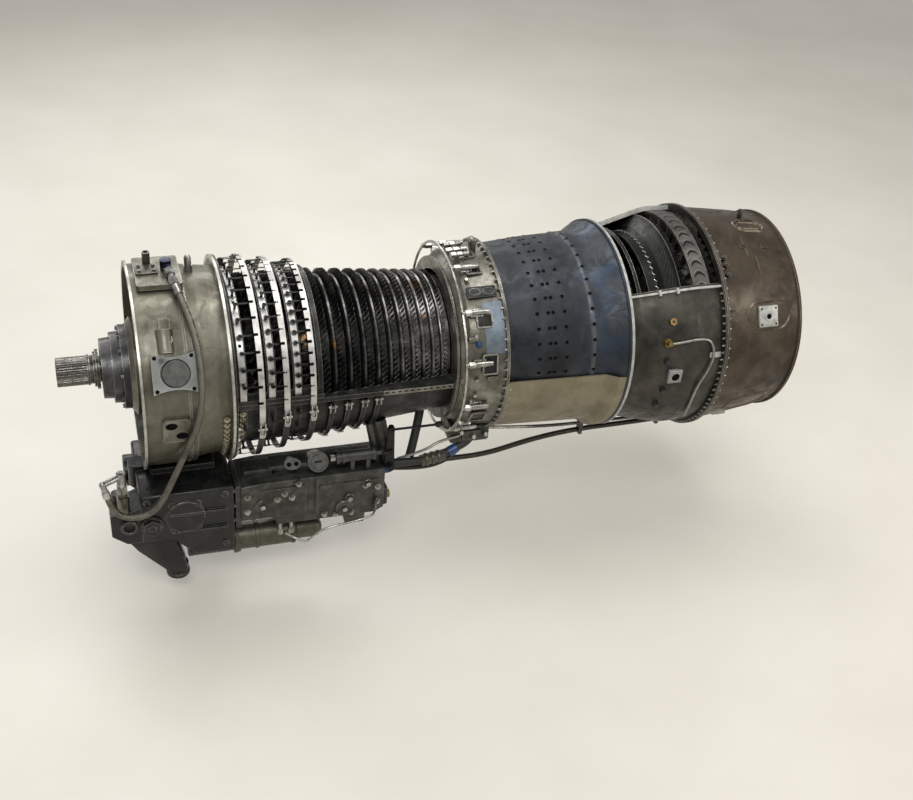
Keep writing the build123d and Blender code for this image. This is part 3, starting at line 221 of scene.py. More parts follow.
class Finish:
    """A node material built up in layers over Object coordinates."""

    def __init__(self, name, metallic, roughness):
        self.material = bpy.data.materials.new(name)
        self.material.use_nodes = True
        self.tree = self.material.node_tree
        self.shader = self.tree.nodes["Principled BSDF"]
        self.shader.inputs["Metallic"].default_value = metallic
        self.shader.inputs["Roughness"].default_value = roughness
        self.place = self.tree.nodes.new("ShaderNodeTexCoord").outputs["Object"]
        self.normal = None

    def link(self, value, socket):
        """Join another node's output to the socket, or set the socket to a number."""
        if isinstance(value, bpy.types.NodeSocket):
            self.tree.links.new(value, socket)
        else:
            socket.default_value = value

    def math(self, operation, first, second=0.0):
        """One sum on two values."""
        node = self.tree.nodes.new("ShaderNodeMath")
        node.operation = operation
        self.link(first, node.inputs[0])
        self.link(second, node.inputs[1])
        return node.outputs[0]

    def stretched(self, scale=(1, 1, 1), turn=(0, 0, 0)):
        """Object coordinates, scaled and turned."""
        node = self.tree.nodes.new("ShaderNodeMapping")
        self.tree.links.new(self.place, node.inputs["Vector"])
        node.inputs["Scale"].default_value = scale
        node.inputs["Rotation"].default_value = turn
        return node.outputs[0]

    def noise(self, scale, detail=4.0, rough=0.55, warp=0.0, place=None):
        """Soft clouds, 0 to 1."""
        node = self.tree.nodes.new("ShaderNodeTexNoise")
        self.tree.links.new(place or self.place, node.inputs["Vector"])
        node.inputs["Scale"].default_value = scale
        node.inputs["Detail"].default_value = detail
        node.inputs["Roughness"].default_value = rough
        node.inputs["Distortion"].default_value = warp
        return node.outputs["Fac"]

    def oily(self, scale, low, high):
        """Roughness that drifts between oily and dry patches."""
        return self.fade(self.noise(scale, 5, 0.65, 0.8), 0.35, 0.65, low, high)

    def bands(self, scale, turn):
        """Parallel stripes, 0 to 1, across a turned direction."""
        node = self.tree.nodes.new("ShaderNodeTexWave")
        self.tree.links.new(self.stretched(turn=turn), node.inputs["Vector"])
        node.inputs["Scale"].default_value = scale
        return node.outputs["Fac"]

    def axis(self, letter):
        """One of the object's coordinates."""
        node = self.tree.nodes.new("ShaderNodeSeparateXYZ")
        self.tree.links.new(self.place, node.inputs[0])
        return node.outputs[letter]

    def radius(self):
        """Distance from the shaft line."""
        y, z = self.axis("Y"), self.axis("Z")
        square = self.math("ADD", self.math("MULTIPLY", y, y), self.math("MULTIPLY", z, z))
        return self.math("SQRT", square)

    def angle(self):
        """Degrees up from the near side, round the shaft line."""
        turn = self.math("ARCTAN2", self.axis("Z"), self.math("MULTIPLY", self.axis("Y"), -1.0))
        return self.math("MULTIPLY", turn, 180 / math.pi)

    def fade(self, value, start, end, low=0.0, high=1.0):
        """From low to high as the value goes from start to end."""
        node = self.tree.nodes.new("ShaderNodeMapRange")
        node.interpolation_type = "SMOOTHSTEP"
        for socket, number in zip(node.inputs[:5], (value, start, end, low, high)):
            self.link(number, socket)
        return node.outputs[0]

    def span(self, value, low, high, soft):
        """1 between low and high, fading over soft at each end."""
        rise = self.fade(value, low - soft, low + soft)
        fall = self.fade(value, high + soft, high - soft)
        return self.math("MULTIPLY", rise, fall)

    def ramp(self, value, stops):
        """Colour from (position, colour) stops."""
        node = self.tree.nodes.new("ShaderNodeValToRGB")
        self.tree.links.new(value, node.inputs[0])
        band = node.color_ramp
        while len(band.elements) < len(stops):
            band.elements.new(0.5)
        for element, (position, colour) in zip(band.elements, stops):
            element.position = position
            element.color = (*colour, 1)
        return node.outputs[0]

    def tint(self, colour, tone, share, *others):
        """Lay a tone over the colour by the product of the shares."""
        for other in others:
            share = self.math("MULTIPLY", share, other)
        return self.mix(share, colour, tone)

    def mix(self, share, first, second):
        """The first colour with a share of the second over it."""
        node = self.tree.nodes.new("ShaderNodeMix")
        node.data_type = "RGBA"
        self.link(share, node.inputs["Factor"])
        for value, socket in ((first, node.inputs[6]), (second, node.inputs[7])):
            self.link(value if isinstance(value, bpy.types.NodeSocket) else (*value, 1), socket)
        return node.outputs[2]

    def corner_shade(self, reach=0.02):
        """Painted shade from ambient occlusion: 0 in deep corners, 1 in the open."""
        node = self.tree.nodes.new("ShaderNodeAmbientOcclusion")
        node.samples = 4
        node.inputs["Distance"].default_value = reach
        return node.outputs["AO"]

    def edges(self, reach=0.002):
        """1 on sharp edges, where the finish has worn through."""
        rounded = self.tree.nodes.new("ShaderNodeBevel")
        rounded.samples = 4
        rounded.inputs["Radius"].default_value = reach
        sharp = self.tree.nodes.new("ShaderNodeNewGeometry")
        dot = self.tree.nodes.new("ShaderNodeVectorMath")
        dot.operation = "DOT_PRODUCT"
        self.tree.links.new(rounded.outputs[0], dot.inputs[0])
        self.tree.links.new(sharp.outputs["Normal"], dot.inputs[1])
        return self.fade(dot.outputs["Value"], 0.995, 0.90)

    def bump(self, height, depth, strength):
        """Add relief of a depth in metres to what is there."""
        node = self.tree.nodes.new("ShaderNodeBump")
        node.inputs["Strength"].default_value = strength
        node.inputs["Distance"].default_value = depth
        self.tree.links.new(height, node.inputs["Height"])
        if self.normal:
            self.tree.links.new(self.normal, node.inputs["Normal"])
        self.normal = node.outputs[0]

    def done(self, colour, roughness=None):
        """Join everything to the shader."""
        self.tree.links.new(colour, self.shader.inputs["Base Color"])
        if roughness is not None:
            self.tree.links.new(roughness, self.shader.inputs["Roughness"])
        if self.normal:
            self.tree.links.new(self.normal, self.shader.inputs["Normal"])
        return self.material


def shop_metal(name, dark, mid, light, metallic, rough, patch, worn):
    """General weathered metal: cloudy tone, fine grain, oily and dry patches, worn edges, painted shade in
    corners.
    """
    finish = Finish(name, metallic, rough[0])
    clouds = finish.noise(patch, 6, 0.6, 0.4)
    colour = finish.ramp(clouds, [(0.3, dark), (0.5, mid), (0.72, light)])
    grain = finish.noise(420, 3, 0.7)
    if worn:
        colour = finish.tint(colour, worn, finish.edges(), finish.fade(grain, 0.3, 0.6))
    # Painted shade: a darker tone laid into deep corners by ambient occlusion.
    deep = tuple(0.3 * c for c in dark)
    colour = finish.mix(finish.fade(finish.corner_shade(), 0.75, 0.15, 0.0, 0.8), colour, deep)
    finish.bump(grain, 0.0004, 0.35)
    finish.bump(finish.noise(70, 3), 0.0008, 0.25)
    return finish.done(colour, finish.oily(patch * 2.3, *rough))


def frame_casting():
    """Olive-grey varnished casting with bright flange edges."""
    finish = Finish("frame_casting", 0.55, 0.4)
    tones = [(0.3, (0.060, 0.055, 0.038)), (0.5, (0.122, 0.113, 0.084)), (0.7, (0.200, 0.190, 0.150))]
    colour = finish.ramp(finish.noise(9, 6, 0.6, 0.5), tones)
    grain = finish.noise(300, 3, 0.7)
    streaks = finish.noise(5, 5, 0.6, 0.3, finish.stretched((9, 1, 1)))
    colour = finish.mix(finish.fade(streaks, 0.5, 0.72, 0.0, 0.6), colour, (0.08, 0.075, 0.05))
    low = finish.fade(finish.angle(), 5.0, -55.0, 0.0, 0.75)
    colour = finish.mix(low, colour, (0.05, 0.05, 0.035))
    colour = finish.tint(colour, (0.5, 0.49, 0.44), finish.edges(0.003), finish.fade(grain, 0.3, 0.6))
    # Painted shade in deep corners, by ambient occlusion.
    colour = finish.mix(finish.fade(finish.corner_shade(0.03), 0.7, 0.15, 0.0, 0.85), colour, (0.02, 0.02, 0.015))
    finish.bump(grain, 0.0005, 0.4)
    finish.bump(finish.noise(60, 4), 0.0012, 0.3)
    return finish.done(colour, finish.oily(20, 0.24, 0.5))


def liner_slate():
    """Slate heat scale, blued towards the turbine, with a lighter welded seam."""
    finish = Finish("liner_slate", 0.75, 0.45)
    tones = [(0.3, (0.018, 0.019, 0.022)), (0.5, (0.033, 0.036, 0.042)), (0.72, (0.058, 0.062, 0.070))]
    colour = finish.ramp(finish.noise(11, 6, 0.6, 0.5), tones)
    x = finish.axis("X")
    blued, clouded = finish.fade(x, 1.12, 1.22), finish.fade(finish.noise(17), 0.4, 0.7)
    colour = finish.tint(colour, (0.028, 0.046, 0.075), blued, clouded, 0.7)
    colour = finish.tint(colour, (0.10, 0.105, 0.11), finish.span(x, 1.184, 1.196, 0.003), 0.6)
    finish.bump(finish.noise(160, 3, 0.6), 0.001, 0.4)
    return finish.done(colour, finish.oily(26, 0.35, 0.6))


def nozzle_grey():
    """Dull nozzle steel: black on the small cone, and vanes as dark crescents of painted shade on the grey
    band, each with a thin painted highlight.
    """
    finish = Finish("nozzle_grey", 0.8, 0.4)
    tones = [(0.3, (0.05, 0.048, 0.042)), (0.5, (0.10, 0.096, 0.085)), (0.72, (0.17, 0.163, 0.145))]
    colour = finish.ramp(finish.noise(20, 6, 0.6, 0.4), tones)
    x = finish.axis("X")
    along = finish.math("SUBTRACT", x, NOZZLE_BAND_MIDDLE)
    bow = finish.math("MULTIPLY", finish.math("MULTIPLY", along, along), CRESCENT_BOW)
    turn = finish.math("ADD", finish.math("ADD", finish.angle(), 360.0), bow)
    share = finish.math("DIVIDE", finish.math("MODULO", turn, CRESCENT_PITCH), CRESCENT_PITCH)
    # Painted shade: near-black crescents for the vanes.
    slot, reach = finish.span(share, 0.35, 0.60, 0.10), finish.span(along, -0.016, 0.016, 0.003)
    colour = finish.tint(colour, (0.008, 0.008, 0.007), slot, reach)
    # Painted highlight: a thin lighter rim beside each crescent.
    rim, reach = finish.span(share, 0.68, 0.74, 0.03), finish.span(along, -0.017, 0.017, 0.003)
    colour = finish.tint(colour, (0.26, 0.25, 0.22), rim, reach, 0.7)
    cone = finish.fade(x, NOZZLE_BAND_MIDDLE - 0.030, NOZZLE_BAND_MIDDLE - 0.034)
    colour = finish.mix(cone, colour, (0.010, 0.010, 0.009))
    slant = finish.math("MULTIPLY", along, VANE_SLANT)
    vane = finish.math("FRACT", finish.math("DIVIDE", finish.math("ADD", turn, slant), VANE_PITCH))
    ends, reach = finish.span(vane, 0.40, 0.58, 0.08), finish.span(along, -0.092, -0.068, 0.003)
    colour = finish.tint(colour, (0.16, 0.155, 0.14), ends, reach, 0.8)
    colour = finish.tint(colour, DULL, finish.edges(), 0.8)
    finish.bump(finish.noise(300, 3, 0.7), 0.0004, 0.35)
    return finish.done(colour, finish.oily(46, 0.3, 0.55))


def exhaust_heat():
    """Red-brown heat scale with grey bloom and darker streaks."""
    finish = Finish("exhaust_heat", 0.55, 0.5)
    colour = finish.ramp(finish.noise(8, 7, 0.62, 0.6), [
        (0.28, (0.020, 0.014, 0.009)), (0.45, (0.044, 0.031, 0.020)), (0.6, (0.068, 0.051, 0.034)),
        (0.75, (0.080, 0.070, 0.053)),
    ])
    streaks = finish.noise(4, 5, 0.6, 0.3, finish.stretched((1, 5, 5)))
    colour = finish.mix(finish.fade(streaks, 0.55, 0.75, 0.0, 0.6), colour, (0.034, 0.025, 0.018))
    colour = finish.tint(colour, (0.34, 0.3, 0.25), finish.edges(0.003), 0.7)
    finish.bump(finish.noise(220, 4, 0.7), 0.0006, 0.4)
    return finish.done(colour, finish.oily(22, 0.32, 0.6))


def hose_braid():
    """Fine crossing wires over a tan hose."""
    finish = Finish("hose_braid", 0.75, 0.42)
    left = finish.bands(150, (0.5, 0.6, 0.785))
    right = finish.bands(150, (-0.5, -0.6, 0.785))
    wires = finish.math("MULTIPLY", left, right)
    tones = [(0.05, (0.06, 0.055, 0.042)), (0.4, (0.19, 0.18, 0.145)), (0.8, (0.38, 0.36, 0.30))]
    colour = finish.ramp(wires, tones)
    dirt = finish.noise(24, 5, 0.6, 0.5)
    colour = finish.mix(finish.fade(dirt, 0.52, 0.72, 0.0, 0.6), colour, (0.05, 0.047, 0.04))
    finish.bump(wires, 0.0006, 0.7)
    return finish.done(colour)


def pipe_steel():
    """Bright unions, with a dark blue elbow at the hose's head, a bronze snout and darker pipe below."""
    finish = Finish("pipe_steel", 0.9, 0.3)
    tones = [(0.3, (0.16, 0.155, 0.14)), (0.5, (0.34, 0.335, 0.32)), (0.72, (0.6, 0.6, 0.58))]
    colour = finish.ramp(finish.noise(40, 5, 0.6, 0.4), tones)
    x, y, z = (finish.axis(letter) for letter in "XYZ")
    for tone, *shares in (
        ((0.012, 0.016, 0.035), finish.fade(z, 0.283, 0.286), finish.fade(y, -0.030, -0.026)),
        ((0.42, 0.30, 0.12), finish.span(x, 1.385, 1.425, 0.001), finish.fade(z, 0.0, 0.01)),
        ((0.10, 0.085, 0.05), finish.fade(x, -0.03, -0.035), finish.fade(z, -0.262, -0.266), 0.8),
        # Darker low down, aft of the control.
        ((0.035, 0.033, 0.028), finish.fade(z, -0.27, -0.28), finish.fade(x, 0.6, 0.62), 0.85),
    ):
        colour = finish.tint(colour, tone, *shares)
    # Painted shade in deep corners, by ambient occlusion.
    colour = finish.mix(finish.fade(finish.corner_shade(), 0.75, 0.15, 0.0, 0.8), colour, (0.02, 0.02, 0.018))
    finish.bump(finish.noise(300, 3, 0.7), 0.0003, 0.3)
    return finish.done(colour, finish.fade(finish.noise(60, 4), 0.35, 0.65, 0.2, 0.42))


def plain(name, colour, metallic=0.0, roughness=0.5, gloss=0.5):
    """One quiet colour with a little cloud in it, for holes, caps and small parts."""
    finish = Finish(name, metallic, roughness)
    finish.shader.inputs["Specular IOR Level"].default_value = gloss
    darker = tuple(0.6 * c for c in colour)
    return finish.done(finish.ramp(finish.noise(60, 4), [(0.3, darker), (0.65, colour)]))


def rotor_steel():
    """Oily blade steel with painted highlight at the tips, painted shade down between the blades and over the
    lower half, and a few painted brown glints on the upper half.
    """
    finish = Finish("rotor_steel", 0.85, 0.3)
    tones = [(0.3, (0.035, 0.035, 0.034)), (0.5, (0.10, 0.098, 0.094)), (0.72, (0.24, 0.235, 0.225))]
    colour = finish.ramp(finish.noise(26, 5, 0.6, 0.4), tones)
    # Painted highlight near the blade tips and painted shade deeper between the blades, set by depth below
    # the tip line.
    tip = finish.fade(finish.axis("X"), DRUM_FRONT, DRUM_REAR, TIP_FRONT, TIP_REAR)
    drop = finish.math("SUBTRACT", tip, finish.radius())
    colour = finish.mix(finish.fade(drop, 0.004, 0.0005, 0.0, 0.85), colour, (0.62, 0.61, 0.59))
    colour = finish.mix(finish.fade(drop, 0.006, 0.03, 0.0, 0.85), colour, (0.012, 0.012, 0.012))
    z = finish.axis("Z")
    # Painted brown glints, on the upper half only.
    glint, upper = finish.fade(finish.noise(15, 3), 0.60, 0.68), finish.fade(z, 0.08, 0.12)
    colour = finish.tint(colour, (0.22, 0.12, 0.05), glint, upper, 0.7)
    # Painted shade over the lower half of the rotor.
    colour = finish.mix(finish.fade(z, 0.03, -0.08, 0.0, 0.6), colour, (0.02, 0.02, 0.02))
    finish.bump(finish.noise(260, 3, 0.7), 0.0003, 0.3)
    return finish.done(colour, finish.oily(50, 0.14, 0.36))


# Quiet finishes: the record's slot, colour, metallic share, roughness and gloss
PLAINS = {
    # The first entry is painted shade: flat black standing in for the shade inside holes, bores, notches and
    # recesses.
    "recess_shade": ("case_black", (0.004, 0.004, 0.004), 0.0, 0.9, 0.05),
    "rubber_black": ("case_black", (0.012, 0.012, 0.012), 0.0, 0.55, 0.5),
    "cap_blue": ("bright_steel", (0.015, 0.05, 0.16), 0.0, 0.35, 0.5),
    "panel_blue": ("bright_steel", (0.17, 0.205, 0.24), 0.7, 0.4, 0.5),
    "band_bright": ("bright_steel", (0.52, 0.50, 0.44), 0.85, 0.35, 0.5),
    "bolt_steel": ("bright_steel", (0.36, 0.35, 0.31), 0.9, 0.35, 0.5),
    "straw_steel": ("bright_steel", (0.42, 0.38, 0.28), 0.8, 0.35, 0.5),
    "bar_grey": ("pad_grey", (0.42, 0.42, 0.39), 0.4, 0.5, 0.5),
    "cap_grey": ("pad_grey", (0.13, 0.13, 0.12), 0.7, 0.4, 0.5),
    "servo_grey": ("pad_grey", (0.075, 0.075, 0.07), 0.7, 0.4, 0.5),
    "patch_pale": ("frame_casting", (0.30, 0.295, 0.25), 0.3, 0.5, 0.5),
    "pressing_tan": ("exhaust_heat", (0.125, 0.098, 0.07), 0.6, 0.35, 0.5),
    "lever_dark": ("lever_steel", (0.022, 0.022, 0.021), 0.7, 0.4, 0.5),
    "collar_steel": ("lever_steel", (0.5, 0.49, 0.46), 0.9, 0.3, 0.5),
    "brass": ("pad_bronze", (0.30, 0.20, 0.075), 0.9, 0.35, 0.5),
    "pump_olive": ("gearbox_black", (0.10, 0.095, 0.07), 0.6, 0.4, 0.5),
    "pipe_dark": ("turbine_dark", (0.05, 0.046, 0.038), 0.8, 0.4, 0.5),
}

# Weathered metals: dark, mid and light tones, metallic share, roughness range, patch scale, worn edges
METALS = (
    ("nose_black", (0.03, 0.03, 0.03), (0.07, 0.07, 0.07), (0.16, 0.16, 0.15),
     0.8, (0.3, 0.5), 14, SILVER),
    ("bearing_steel", (0.3, 0.3, 0.29), (0.5, 0.5, 0.48), (0.62, 0.61, 0.59),
     1.0, (0.18, 0.35), 14, None),
    ("pad_grey", (0.13, 0.135, 0.13), (0.21, 0.216, 0.21), (0.28, 0.285, 0.275),
     0.4, (0.4, 0.6), 14, SILVER),
    ("pad_bronze", (0.05, 0.047, 0.035), (0.10, 0.095, 0.07), (0.16, 0.15, 0.115),
     0.6, (0.3, 0.5), 14, SILVER),
    ("bright_steel", (0.2, 0.195, 0.17), (0.36, 0.35, 0.32), (0.56, 0.55, 0.52),
     0.95, (0.2, 0.42), 40, None),
    ("case_black", (0.006, 0.006, 0.006), (0.018, 0.018, 0.017), (0.05, 0.05, 0.047),
     0.6, (0.28, 0.55), 14, DULL),
    ("lever_steel", (0.03, 0.03, 0.03), (0.1, 0.1, 0.1), (0.3, 0.29, 0.27),
     0.9, (0.25, 0.45), 60, None),
    ("ring_bright", (0.3, 0.29, 0.27), (0.5, 0.49, 0.46), (0.66, 0.65, 0.63),
     0.7, (0.3, 0.5), 30, None),
    ("ring_black", (0.008, 0.008, 0.008), (0.02, 0.02, 0.02), (0.055, 0.055, 0.053),
     0.6, (0.28, 0.5), 14, DULL),
    ("turbine_steel", (0.02, 0.02, 0.02), (0.05, 0.05, 0.048), (0.12, 0.115, 0.11),
     0.9, (0.22, 0.42), 30, SILVER),
    ("shaft_steel", (0.02, 0.019, 0.016), (0.07, 0.065, 0.055), (0.2, 0.185, 0.165),
     0.95, (0.25, 0.45), 40, SILVER),
    ("frame_tan", (0.06, 0.055, 0.042), (0.14, 0.132, 0.108), (0.28, 0.27, 0.235),
     0.75, (0.25, 0.45), 18, SILVER),
    ("case_tan", (0.13, 0.112, 0.072), (0.19, 0.165, 0.108), (0.25, 0.22, 0.155),
     0.5, (0.35, 0.55), 12, None),
    ("turbine_dark", (0.018, 0.016, 0.012), (0.038, 0.035, 0.028), (0.075, 0.069, 0.056),
     0.6, (0.3, 0.55), 14, DULL),
    ("gearbox_black", (0.004, 0.004, 0.004), (0.009, 0.009, 0.009), (0.025, 0.025, 0.023),
     0.2, (0.25, 0.5), 14, DULL),
    ("control_grey", (0.022, 0.022, 0.019), (0.05, 0.05, 0.043), (0.1, 0.1, 0.088),
     0.6, (0.3, 0.55), 24, DULL),
)

DRAWN = (frame_casting, liner_slate, nozzle_grey, exhaust_heat, hose_braid, pipe_steel, rotor_steel)
FINISHES = {make.__name__: make() for make in DRAWN}
FINISHES |= {name: plain(name, *recipe) for name, (slot, *recipe) in PLAINS.items()}
FINISHES |= {name: shop_metal(name, *recipe) for name, *recipe in METALS}

# Slot of each finish that isn't a slot of the record itself
SLOTS = {name: slot for name, (slot, *recipe) in PLAINS.items()}
SLOTS |= {"hose_braid": "bright_steel", "pipe_steel": "bright_steel"}


def finish_nodes():
    """Every carried-over node takes the material that its slot in the record names."""
    for group in frame["record"]["subparts"]:
        node = frame["nodes"].get(group["node"])
        if node:
            for slot in node.material_slots:
                slot.material = FINISHES[group["material_slot"]]


def new_meshes(count):
    """Empty meshes to build in, one for each piece."""
    return [bmesh.new() for _ in range(count)]


def finish_piece(name, mesh, finish, body="root", replaced=()):
    """Make the mesh an object that rides on a body and stands for the nodes it replaces."""
    bmesh.ops.remove_doubles(mesh, verts=mesh.verts, dist=MERGE_REACH)
    bmesh.ops.recalc_face_normals(mesh, faces=mesh.faces)
    for face in mesh.faces:
        face.smooth = True
    data = bpy.data.meshes.new(name)
    mesh.to_mesh(data)
    mesh.free()
    data.set_sharp_from_angle(angle=SHARP_ANGLE)
    piece = new_object(name, data)
    data.materials.append(FINISHES[finish])
    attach(piece, body)
    if replaced:
        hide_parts(*replaced)
    return piece


def on_skin(x, radius, angle, turn=0.0):
    """Seat on the engine's skin: Z points outwards, X aft, and the angle counts up from the near side."""
    lift = Matrix.Rotation(math.radians(90 - angle), 4, "X") @ Matrix.Translation((x, 0, radius))
    return lift @ Matrix.Rotation(math.radians(turn), 4, "Z")


def seat_at(place, axis=(0, 0, 1)):
    """Seat at a point with its Z along an axis."""
    return Matrix.Translation(place) @ Vector(axis).to_track_quat("Z", "Y").to_matrix().to_4x4()


def moved(seat, x, y, z):
    """Seat shifted along its own axes."""
    return seat @ Matrix.Translation((x, y, z))


def round_off(mesh, verts, offset, segments):
    """Round the edges that meet at the vertices."""
    edges = {edge for vert in verts for edge in vert.link_edges}
    bmesh.ops.bevel(
        mesh, geom=list(edges), offset=offset, segments=segments, profile=0.5, affect="EDGES", material=-1
    )


def prism(mesh, sides, radius, height, seat, top=None):
    """Upright prism or cone on a seat."""
    bmesh.ops.create_cone(
        mesh, cap_ends=True, segments=sides, radius1=radius, radius2=radius if top is None else top,
        depth=height, matrix=moved(seat, 0, 0, height / 2),
    )


def block(mesh, size, seat, rounding=0.0):
    """Box about a seat, with its edges rounded if asked."""
    made = bmesh.ops.create_cube(mesh, size=1.0, matrix=seat @ Matrix.Diagonal((*size, 1)))
    if rounding:
        round_off(mesh, made["verts"], rounding, 2)


def turned(mesh, outline, seat, steps=20):
    """Lathe an open or closed outline of (radius, height) about the seat's Z."""
    verts = [mesh.verts.new(seat @ Vector((radius, 0, height))) for radius, height in outline]
    edges = [mesh.edges.new(pair) for pair in zip(verts, verts[1:])]
    bmesh.ops.spin(
        mesh, geom=verts + edges, cent=seat.translation, axis=seat.to_3x3() @ Vector((0, 0, 1)),
        angle=math.tau, steps=steps, use_merge=True,
    )


def hoop(mesh, outline, low=0.0, high=360.0, steps=72):
    """Lathe a closed outline of (x, radius) about the shaft between two angles."""
    whole = high - low >= 360.0
    side = on_skin(0, 0, low)
    verts = [mesh.verts.new(side @ Vector((x, 0, radius))) for x, radius in outline]
    edges = [mesh.edges.new((verts[i - 1], verts[i])) for i in range(len(verts))]
    start = edges + verts
    if not whole:
        start = [mesh.faces.new(verts)] + start
    bmesh.ops.spin(
        mesh, geom=start, cent=(0, 0, 0), axis=(-1, 0, 0), angle=math.radians(high - low),
        steps=steps, use_merge=whole,
    )


def band(mesh, start, end, inner, outer, low=0.0, high=360.0, steps=72):
    """Square hoop between two stations and two radii."""
    hoop(mesh, [(start, inner), (start, outer), (end, outer), (end, inner)], low, high, steps)


def round_copies(mesh, count):
    """Copy everything in the mesh evenly round the shaft."""
    bmesh.ops.spin(
        mesh, geom=mesh.verts[:] + mesh.edges[:] + mesh.faces[:], cent=(0, 0, 0), axis=(1, 0, 0),
        angle=math.tau * (count - 1) / count, steps=count - 1, use_duplicate=True,
    )


def append_mesh(mesh, part):
    """Join one bmesh into another."""
    carrier = bpy.data.meshes.new("carrier")
    part.to_mesh(carrier)
    part.free()
    mesh.from_mesh(carrier)
    bpy.data.meshes.remove(carrier)


def shape_blade(mesh, x, root, tip, chord, root_turn, tip_turn, thickness):
    """Thin blade with a cambered, twisted section that narrows to its tip."""
    made = bmesh.ops.create_grid(mesh, x_segments=4, y_segments=2, size=0.5)
    for vert in made["verts"]:
        along, up = vert.co.x, vert.co.y + 0.5
        width = chord * (1.0 - 0.18 * up ** 3)
        bow = 0.07 * chord * (1.0 - 4.0 * along * along)
        turn = Matrix.Rotation(math.radians(root_turn + (tip_turn - root_turn) * up), 4, "Z")
        vert.co = turn @ Vector((along * width, bow, root + (tip - root) * up))
        vert.co.x += x
    bmesh.ops.solidify(mesh, geom=mesh.faces[:], thickness=thickness)


def blade_ring(mesh, count, x, root, tip, chord, root_turn, tip_turn, thickness):
    """Full ring of equal blades."""
    blade = bmesh.new()
    shape_blade(blade, x, root, tip, chord, root_turn, tip_turn, thickness)
    round_copies(blade, count)
    append_mesh(mesh, blade)


def tip_radius(x):
    """Blade tip line of the compressor, as in the part."""
    if x < DRUM_FRONT:
        return TIP_FRONT
    share = (x - DRUM_FRONT) / (DRUM_REAR - DRUM_FRONT)
    return TIP_FRONT + (TIP_REAR - TIP_FRONT) * min(share, 1.0)


def front_stages():
    """Conical spool with three rows of wide blades."""
    mesh = bmesh.new()
    hoop(mesh, [
        (0.263, 0.050), (0.263, 0.110), (0.272, 0.121), (0.302, 0.127), (0.320, 0.134), (0.339, 0.146),
        (0.369, 0.155), (0.388, 0.158), (0.406, 0.166), (0.436, 0.171), (0.4545, 0.172), (0.4545, 0.158),
        (0.421, 0.148), (0.354, 0.130), (0.287, 0.104), (0.277, 0.092), (0.277, 0.050),
    ])
    for x, root in zip(FRONT_STATIONS, FRONT_ROOTS):
        blade_ring(mesh, 42, x, root, TIP_FRONT, 0.038, 22, 44, 0.0022)
    finish_piece("compressor_front_stages", mesh, "rotor_steel", "core_rotor", ("compressor_rotor_front",))


def drum_stages():
    """Drum with eleven close blade rows and a rounded land behind each."""
    mesh = bmesh.new()
    inner = DRUM_R - DRUM_WALL
    outline = [(DRUM_FRONT, DRUM_BORE), (DRUM_FRONT, inner), (DRUM_FRONT + 0.001, DRUM_R)]
    for i, x in enumerate(DRUM_STATIONS[:-1]):
        pitch = DRUM_PITCH * DRUM_SHRINK ** i
        crest = LAND_RISE * (tip_radius(x) - DRUM_R)
        outline += [(x + share * pitch, DRUM_R + rise * crest) for share, rise in LAND_SHAPE]
    outline += [
        (DRUM_REAR, DRUM_R), (DRUM_REAR, DRUM_BORE), (DRUM_REAR - DRUM_WALL, DRUM_BORE),
        (DRUM_REAR - DRUM_WALL, inner), (DRUM_FRONT + DRUM_WALL, inner), (DRUM_FRONT + DRUM_WALL, DRUM_BORE),
    ]
    hoop(mesh, outline, steps=96)
    for i, x in enumerate(DRUM_STATIONS):
        chord = 0.70 * DRUM_PITCH * DRUM_SHRINK ** i
        blade_ring(mesh, 84, x, DRUM_R - 0.001, tip_radius(x), chord, 28, 46, 0.0018)
    finish_piece("compressor_drum_stages", mesh, "rotor_steel", "core_rotor", ("compressor_rotor_drum",))


def bolt_ring(mesh, x, radius, count, low, high, facing, size, height=0.005):
    """Hex heads on washers round a flange face."""
    for i in range(count):
        angle = low + (high - low) * (i + 0.5) / count
        place = on_skin(x, radius, angle).translation
        seat = seat_at(place, (facing, 0, 0)) @ Matrix.Rotation(angle, 4, "Z")
        prism(mesh, 10, size * 1.35, 0.001, seat)
        prism(mesh, 6, size, height, seat)
        prism(mesh, 6, size * 0.45, height + 0.003, seat)


def flange_bolts():
    """Fasteners of the flanges that join the casings."""
    mesh = bmesh.new()
    for x, radius, count, low, high, facing, size in (
        (FRAME_END + 0.006, 0.2650, 12, -66, -10, 1, 0.0042),
        (FRAME_END + 0.006, 0.2540, 12, -68, -12, 1, 0.0042),
        (MAIN_END - 0.008, 0.2640, 60, 0, 360, -1, 0.0033),
        (MAIN_END + 0.006, 0.2640, 28, -178, -2, 1, 0.0033),
        (TURBINE_START + 0.006, 0.2850, 48, -180, 42, 1, 0.0033),
        (EXHAUST_START - 0.006, 0.3190, 60, -180, 42, -1, 0.0033),
        (EXHAUST_START + 0.006, 0.3200, 72, 0, 360, 1, 0.0033),
    ):
        bolt_ring(mesh, x, radius, count, low, high, facing, size)
    finish_piece("flange_bolts", mesh, "bolt_steel")


def lower_flange_heads():
    """Two columns of straw-coloured heads beside the rear flange of the inlet frame."""
    mesh = bmesh.new()
    for x, radius in ((FRAME_END - 0.020, 0.2475), (FRAME_END + 0.022, 0.2330)):
        for i in range(12):
            seat = on_skin(x, radius, -6.5 - 4.2 * i)
            prism(mesh, 8, 0.0084, 0.006, seat)
            prism(mesh, 8, 0.0050, 0.011, seat, 0.0042)
    finish_piece("lower_flange_heads", mesh, "straw_steel")


def stem_strips():
    """Bright cover of each of the three strips that hold the upper vane stems."""
    mesh = bmesh.new()
    for x, radius in zip(STRIP_X, STRIP_R):
        band(mesh, x - 0.008, x + 0.008, radius - 0.0005, radius + 0.0006, 3.2, 176.8, 64)
    finish_piece("stem_strips", mesh, "ring_bright")


